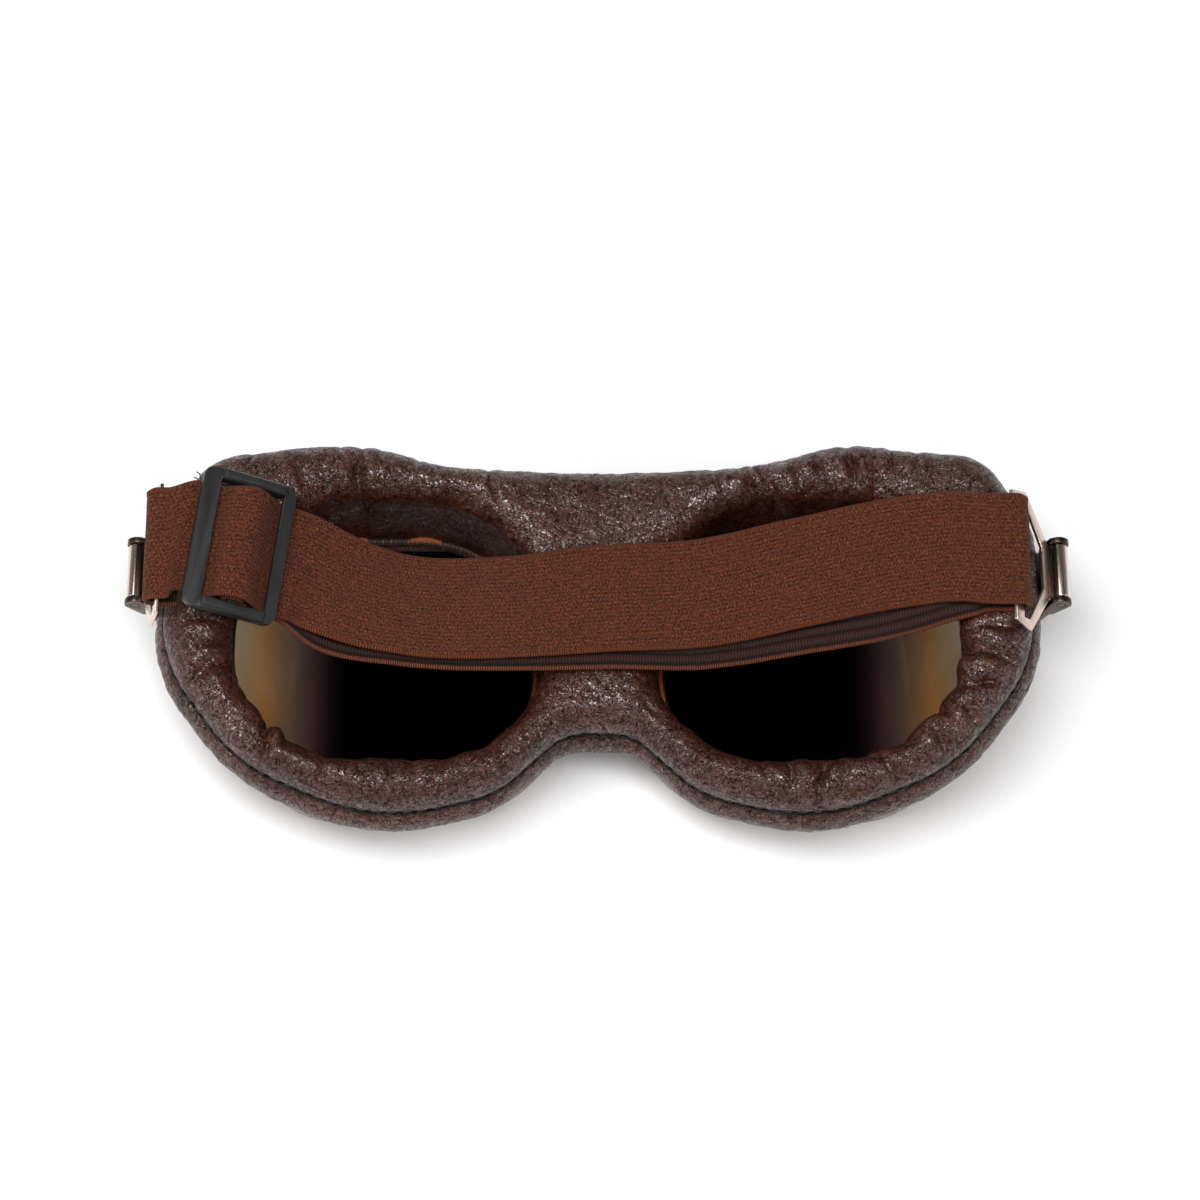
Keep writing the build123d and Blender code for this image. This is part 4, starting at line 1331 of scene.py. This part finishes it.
def strapMesh(name, stations):
    profile = strapProfile()
    alongRate, acrossRate = strap["rippleRate"]
    verts, uvs = [], []
    for point, across, normal, travelled, fade, seed in stations:
        for v, h in profile:
            place = Vector((travelled * alongRate, v * acrossRate, seed + 5))
            ripple = strap["ripple"] * fade * noise.noise(place)
            verts.append((point + across * v + normal * (h + ripple)) * mm)
            uvs.append((travelled * mm, v * mm))
    ring = len(profile)
    faces = gridFaces(len(stations), ring, False, True)
    faces += [tuple(range(ring)), tuple(reversed(range(len(verts) - ring, len(verts))))]
    piece = newMesh(name, verts, faces, uvs)
    fixNormals(piece)
    piece.data.set_sharp_from_angle(angle=math.radians(60))
    return piece


def foldArc(centre, side, fromTop, steps=14):
    # half turn round a base bar, in the plane of x and z
    radius, sign = hinge["foldMiddle"], 1 if fromTop else -1
    points = []
    for k in range(steps + 1):
        angle = sign * (math.pi / 2 - math.pi * k / steps)
        points.append(Vector((centre.x + side * radius * math.cos(angle), strap["endY"],
                              centre.z + radius * math.sin(angle))))
    return points


sliderLow, sliderHigh = -1.75, 2.95
leftSlot, rightSlot = -6.2, 7.5
barMiddle = (leftSlot + rightSlot) / 2
rightCentre = barCentre(1, 50.0)
leftCentre = barCentre(-1, 71.0)


def besideFold(centre, inward, sign):
    return Vector((centre.x + inward, strap["endY"], centre.z + sign * hinge["foldMiddle"]))


def station(place, roll=0.0, yaw=0.0):
    return (place, roll, yaw)


def slid(along, square):
    return (onSlider(along, square), 0.0, math.degrees(sliderPlace["yaw"]))


def makeHookRun():
    lower = [station(besideFold(leftCentre, inward, -1)) for inward in (4.0, 0.0)]
    path = smoothPath(lower, 0.6)[:-1]
    path += [station(p) for p in foldArc(leftCentre, -1, False)]
    path += smoothPath([station(besideFold(leftCentre, 0.4, 1)), station(besideFold(leftCentre, 2.0, 1)),
                        slid(-10.4, sliderLow), slid(-9.4, sliderLow)], 0.5)
    return path


def makeWeave():
    return smoothPath([
        slid(-9.4, sliderLow), slid(leftSlot - 0.4, sliderLow), slid(leftSlot + 1.6, -0.6),
        slid(barMiddle - 2.3, 2.2), slid(barMiddle - 0.9, sliderHigh), slid(barMiddle + 0.9, sliderHigh),
        slid(barMiddle + 2.3, 2.2), slid(rightSlot - 1.6, -0.6), slid(rightSlot + 0.4, sliderLow),
        slid(10.9, sliderLow)], 0.6)


def makeLongRun():
    # from the slider over the top to the right hook, round it, and back below as far as the slider
    top, under = besideFold(rightCentre, -2.7, 1), besideFold(rightCentre, -2.7, -1)
    beside = Vector((2.5, 0, 0))
    over = smoothPath([slid(10.9, sliderLow), slid(13.4, sliderLow)] + strapRoute(strap["upper"])
                      + [station(top - beside), station(top)], strap["step"])
    arc = [station(p) for p in foldArc(rightCentre, 1, True)]
    sewn = [slid(3.4, -1.35), slid(4.9, -3.1), slid(6.4, -3.45), slid(10.6, -3.45)]
    below = strapRoute(strap["lower"]) + [station(under - beside), station(under)]
    back = smoothPath(sewn + below, strap["step"])
    return makeWeave() + over[1:] + arc + [(p, -roll, yaw) for p, roll, yaw in back[::-1]]


def makeLoop():
    half = 1.35
    spots = [(2.9, -half), (0, -half), (-1.0, -half), (-1.75, -0.75), (-1.85, 0.0), (-1.75, 0.75),
             (-1.0, half), (0, half), (1.0, half), (1.75, 0.75), (1.85, 0.0), (1.75, -0.6)]
    return smoothPath([slid(barMiddle + a, h) for a, h in spots], 0.5)


def cutPath(stations, x, upper):
    # index of the station where one layer passes x
    fold = max(range(len(stations)), key=lambda k: stations[k][0].x)
    span = range(0, fold) if upper else range(fold, len(stations))
    return min(span, key=lambda k: abs(stations[k][0].x - x))


cuts = dict(hook=-85.3, lead=-78.6, upper=12.0, lower=8.0)
hookRun = framedPath(makeHookRun(), waver=0.0)
longRun = framedPath(makeLongRun(), seed=2.0, uStart=hookRun[-1][3])
hookCut = min(range(len(hookRun) // 2, len(hookRun)), key=lambda k: abs(hookRun[k][0].x - cuts["hook"]))
leadCut = cutPath(longRun, cuts["lead"], True)
upperCut = cutPath(longRun, cuts["upper"], True)
lowerCut = cutPath(longRun, cuts["lower"], False)


def strapPiece(name, stations, *nodes):
    piece = strapMesh(name, stations)
    for material in (strapElastic, strapInside):
        piece.data.materials.append(material)
    # the inner face is ribbed: the faces whose profile index lies on the inner side
    ring = 2 * strap["across"]
    for polygon in piece.data.polygons:
        columns = [i % ring for i in polygon.vertices]
        if len(columns) == 4 and all(c >= strap["across"] or c == 0 for c in columns):
            polygon.material_index = 1
    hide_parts(*nodes)
    return piece


strapLeft = strapPiece("strapLeft", hookRun[:hookCut + 1], "strap_left_fold")
strapLead = strapPiece("strapLead", hookRun[hookCut:-1] + longRun[:leadCut + 1], "strap_hook_run")
strapWeave = strapPiece("strapWeave", longRun[leadCut:upperCut + 1], "strap_weave")
strapOuter = strapPiece("strapOuter", longRun[upperCut:lowerCut + 1], "strap_upper_layer", "strap_right_fold")
strapReturn = strapPiece("strapReturn", longRun[lowerCut:], "strap_lower_layer")
strapLoop = strapPiece("strapLoop", framedPath(makeLoop(), waver=0.0, seed=4.0), "strap_sewn_loop")

# threads that stick out at the sewn end and at the upper edge
looseEnds = (
    ("cut", ((0.3, 0, 0), (-0.6, -0.9, 0.2), (-1.7, -1.3, 0.1), (-2.3, -0.6, 0.3), (-2.9, -1.3, 0.2))),
    ("cut", ((0.9, 0.1, 0), (0.6, -0.9, 0.2), (-0.2, -1.7, 0.3), (-1.1, -1.9, 0.1))),
    ("edge", ((0.2, -0.2, 0.1), (-0.5, 0.7, 0.5), (-0.7, 1.7, 0.4), (-1.4, 2.3, 0.2))),
    ("edge", ((-0.8, -0.2, 0.1), (-1.1, 0.6, 0.5), (-1.9, 0.9, 0.6))),
)


def makeLooseEnds():
    half = strap["width"] / 2 - 0.2
    last, early = longRun[-1], longRun[0]
    starts = dict(cut=last[0] - last[1] * half, edge=early[0] + early[1] * half)
    parts = []
    for place, moves in looseEnds:
        spots = [station(starts[place] + Vector(move)) for move in moves]
        line = [p * mm for p, roll, yaw in smoothPath(spots, 0.3)]
        parts.append(tubeAlong(line, strap["threadRadius"] * mm, 6))
    return newMesh("looseThreads", *gather(parts))


finishPiece(makeLooseEnds(), blackThread, "strap_slider")

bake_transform(strapLeft)
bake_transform(strapLead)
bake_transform(strapWeave)
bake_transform(strapReturn)
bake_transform(strapOuter)
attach(strapLoop, "strap_slider")
print("strap made")


stage = dict(floorColor=(0.80, 0.80, 0.80, 1), floorGlow=0.10, floorSize=1.6, worldLight=0.22)
white = (1, 1, 1, 1)


def makeFloor():
    size = stage["floorSize"]
    corners = [(-size, -size, 0), (size, -size, 0), (size, size, 0), (-size, size, 0)]
    floor = newMesh("tableTop", corners, [(0, 1, 2, 3)], smooth=False)
    material, tree, shader = newMaterial("paleTable")
    feed(tree, shader, {"Base Color": stage["floorColor"], "Roughness": 0.9})
    # the camera sees white where the floor is lit and keeps the shadow where it isn't
    glow = node(tree, "ShaderNodeEmission", {"Color": white, "Strength": stage["floorGlow"]})
    both = node(tree, "ShaderNodeAddShader", {0: shader.outputs[0], 1: glow.outputs[0]})
    light = node(tree, "ShaderNodeLightPath").outputs
    rays = mathNode(tree, "MAXIMUM", light["Is Camera Ray"], light["Is Glossy Ray"])
    seen = node(tree, "ShaderNodeMixShader", {0: rays, 1: shader.outputs[0], 2: both.outputs[0]})
    sided = node(tree, "ShaderNodeMixShader", {
        0: node(tree, "ShaderNodeNewGeometry").outputs["Backfacing"], 1: seen.outputs[0],
        2: node(tree, "ShaderNodeBsdfTransparent").outputs[0]})
    feed(tree, tree.nodes["Material Output"], {"Surface": sided.outputs[0]})
    floor.data.materials.append(material)


def makeWorld():
    # a dark ceiling over pale walls, which the camera sees as white
    world = bpy.data.worlds.new("studio")
    bpy.context.scene.world = world
    world.use_nodes = True
    tree = world.node_tree
    around = node(tree, "ShaderNodeTexCoord").outputs["Generated"]
    height = node(tree, "ShaderNodeSeparateXYZ", {0: around}).outputs[2]
    walls = rampNode(tree, height, [(0.0, white), (0.35, white), (0.7, (0.03, 0.03, 0.03, 1))])
    lit = feed(tree, tree.nodes["Background"], {"Color": walls, "Strength": stage["worldLight"]})
    plain = node(tree, "ShaderNodeBackground", {"Color": white, "Strength": 1.0})
    ray = node(tree, "ShaderNodeLightPath").outputs["Is Camera Ray"]
    mix = node(tree, "ShaderNodeMixShader", {0: ray, 1: lit.outputs[0], 2: plain.outputs[0]})
    feed(tree, tree.nodes["World Output"], {"Surface": mix.outputs[0]})


def aim(thing, place, target):
    thing.location = place
    thing.rotation_euler = (Vector(target) - Vector(place)).to_track_quat("-Z", "Y").to_euler()


# name, place, size and power
lamps = (
    ("overhead", (-0.08, -0.13, 0.95), (0.8, 0.34), 11.0),
    ("leftBox", (-0.80, -0.30, 0.42), (0.16, 0.4), 2.6),
    ("rightBox", (0.80, -0.30, 0.42), (0.16, 0.4), 1.6),
    ("backBox", (-0.25, 0.95, 0.55), (0.9, 0.16), 1.2),
)
view = dict(lens=106.9, sensor=36, target=(0.4, 9.95, 18.0), elevation=math.radians(68), distance=0.750)


def makeLamps():
    for name, place, size, power in lamps:
        data = bpy.data.lights.new(name, "AREA")
        data.shape = "RECTANGLE"
        data.size, data.size_y = size
        data.energy = power
        aim(addObject(name, data), place, (0, 0, 0.02))


def makeCamera():
    data = bpy.data.cameras.new("photoCamera")
    data.lens = view["lens"]
    data.sensor_width = view["sensor"]
    data.dof.use_dof = False
    camera = addObject("photoCamera", data)
    target = Vector(view["target"]) * mm
    away = Vector((0, -math.cos(view["elevation"]), math.sin(view["elevation"])))
    aim(camera, target + away * view["distance"], target)
    bpy.context.scene.camera = camera


makeFloor()
makeWorld()
makeLamps()
makeCamera()
bpy.context.scene.view_settings.view_transform = "Standard"
print("stage and camera made")
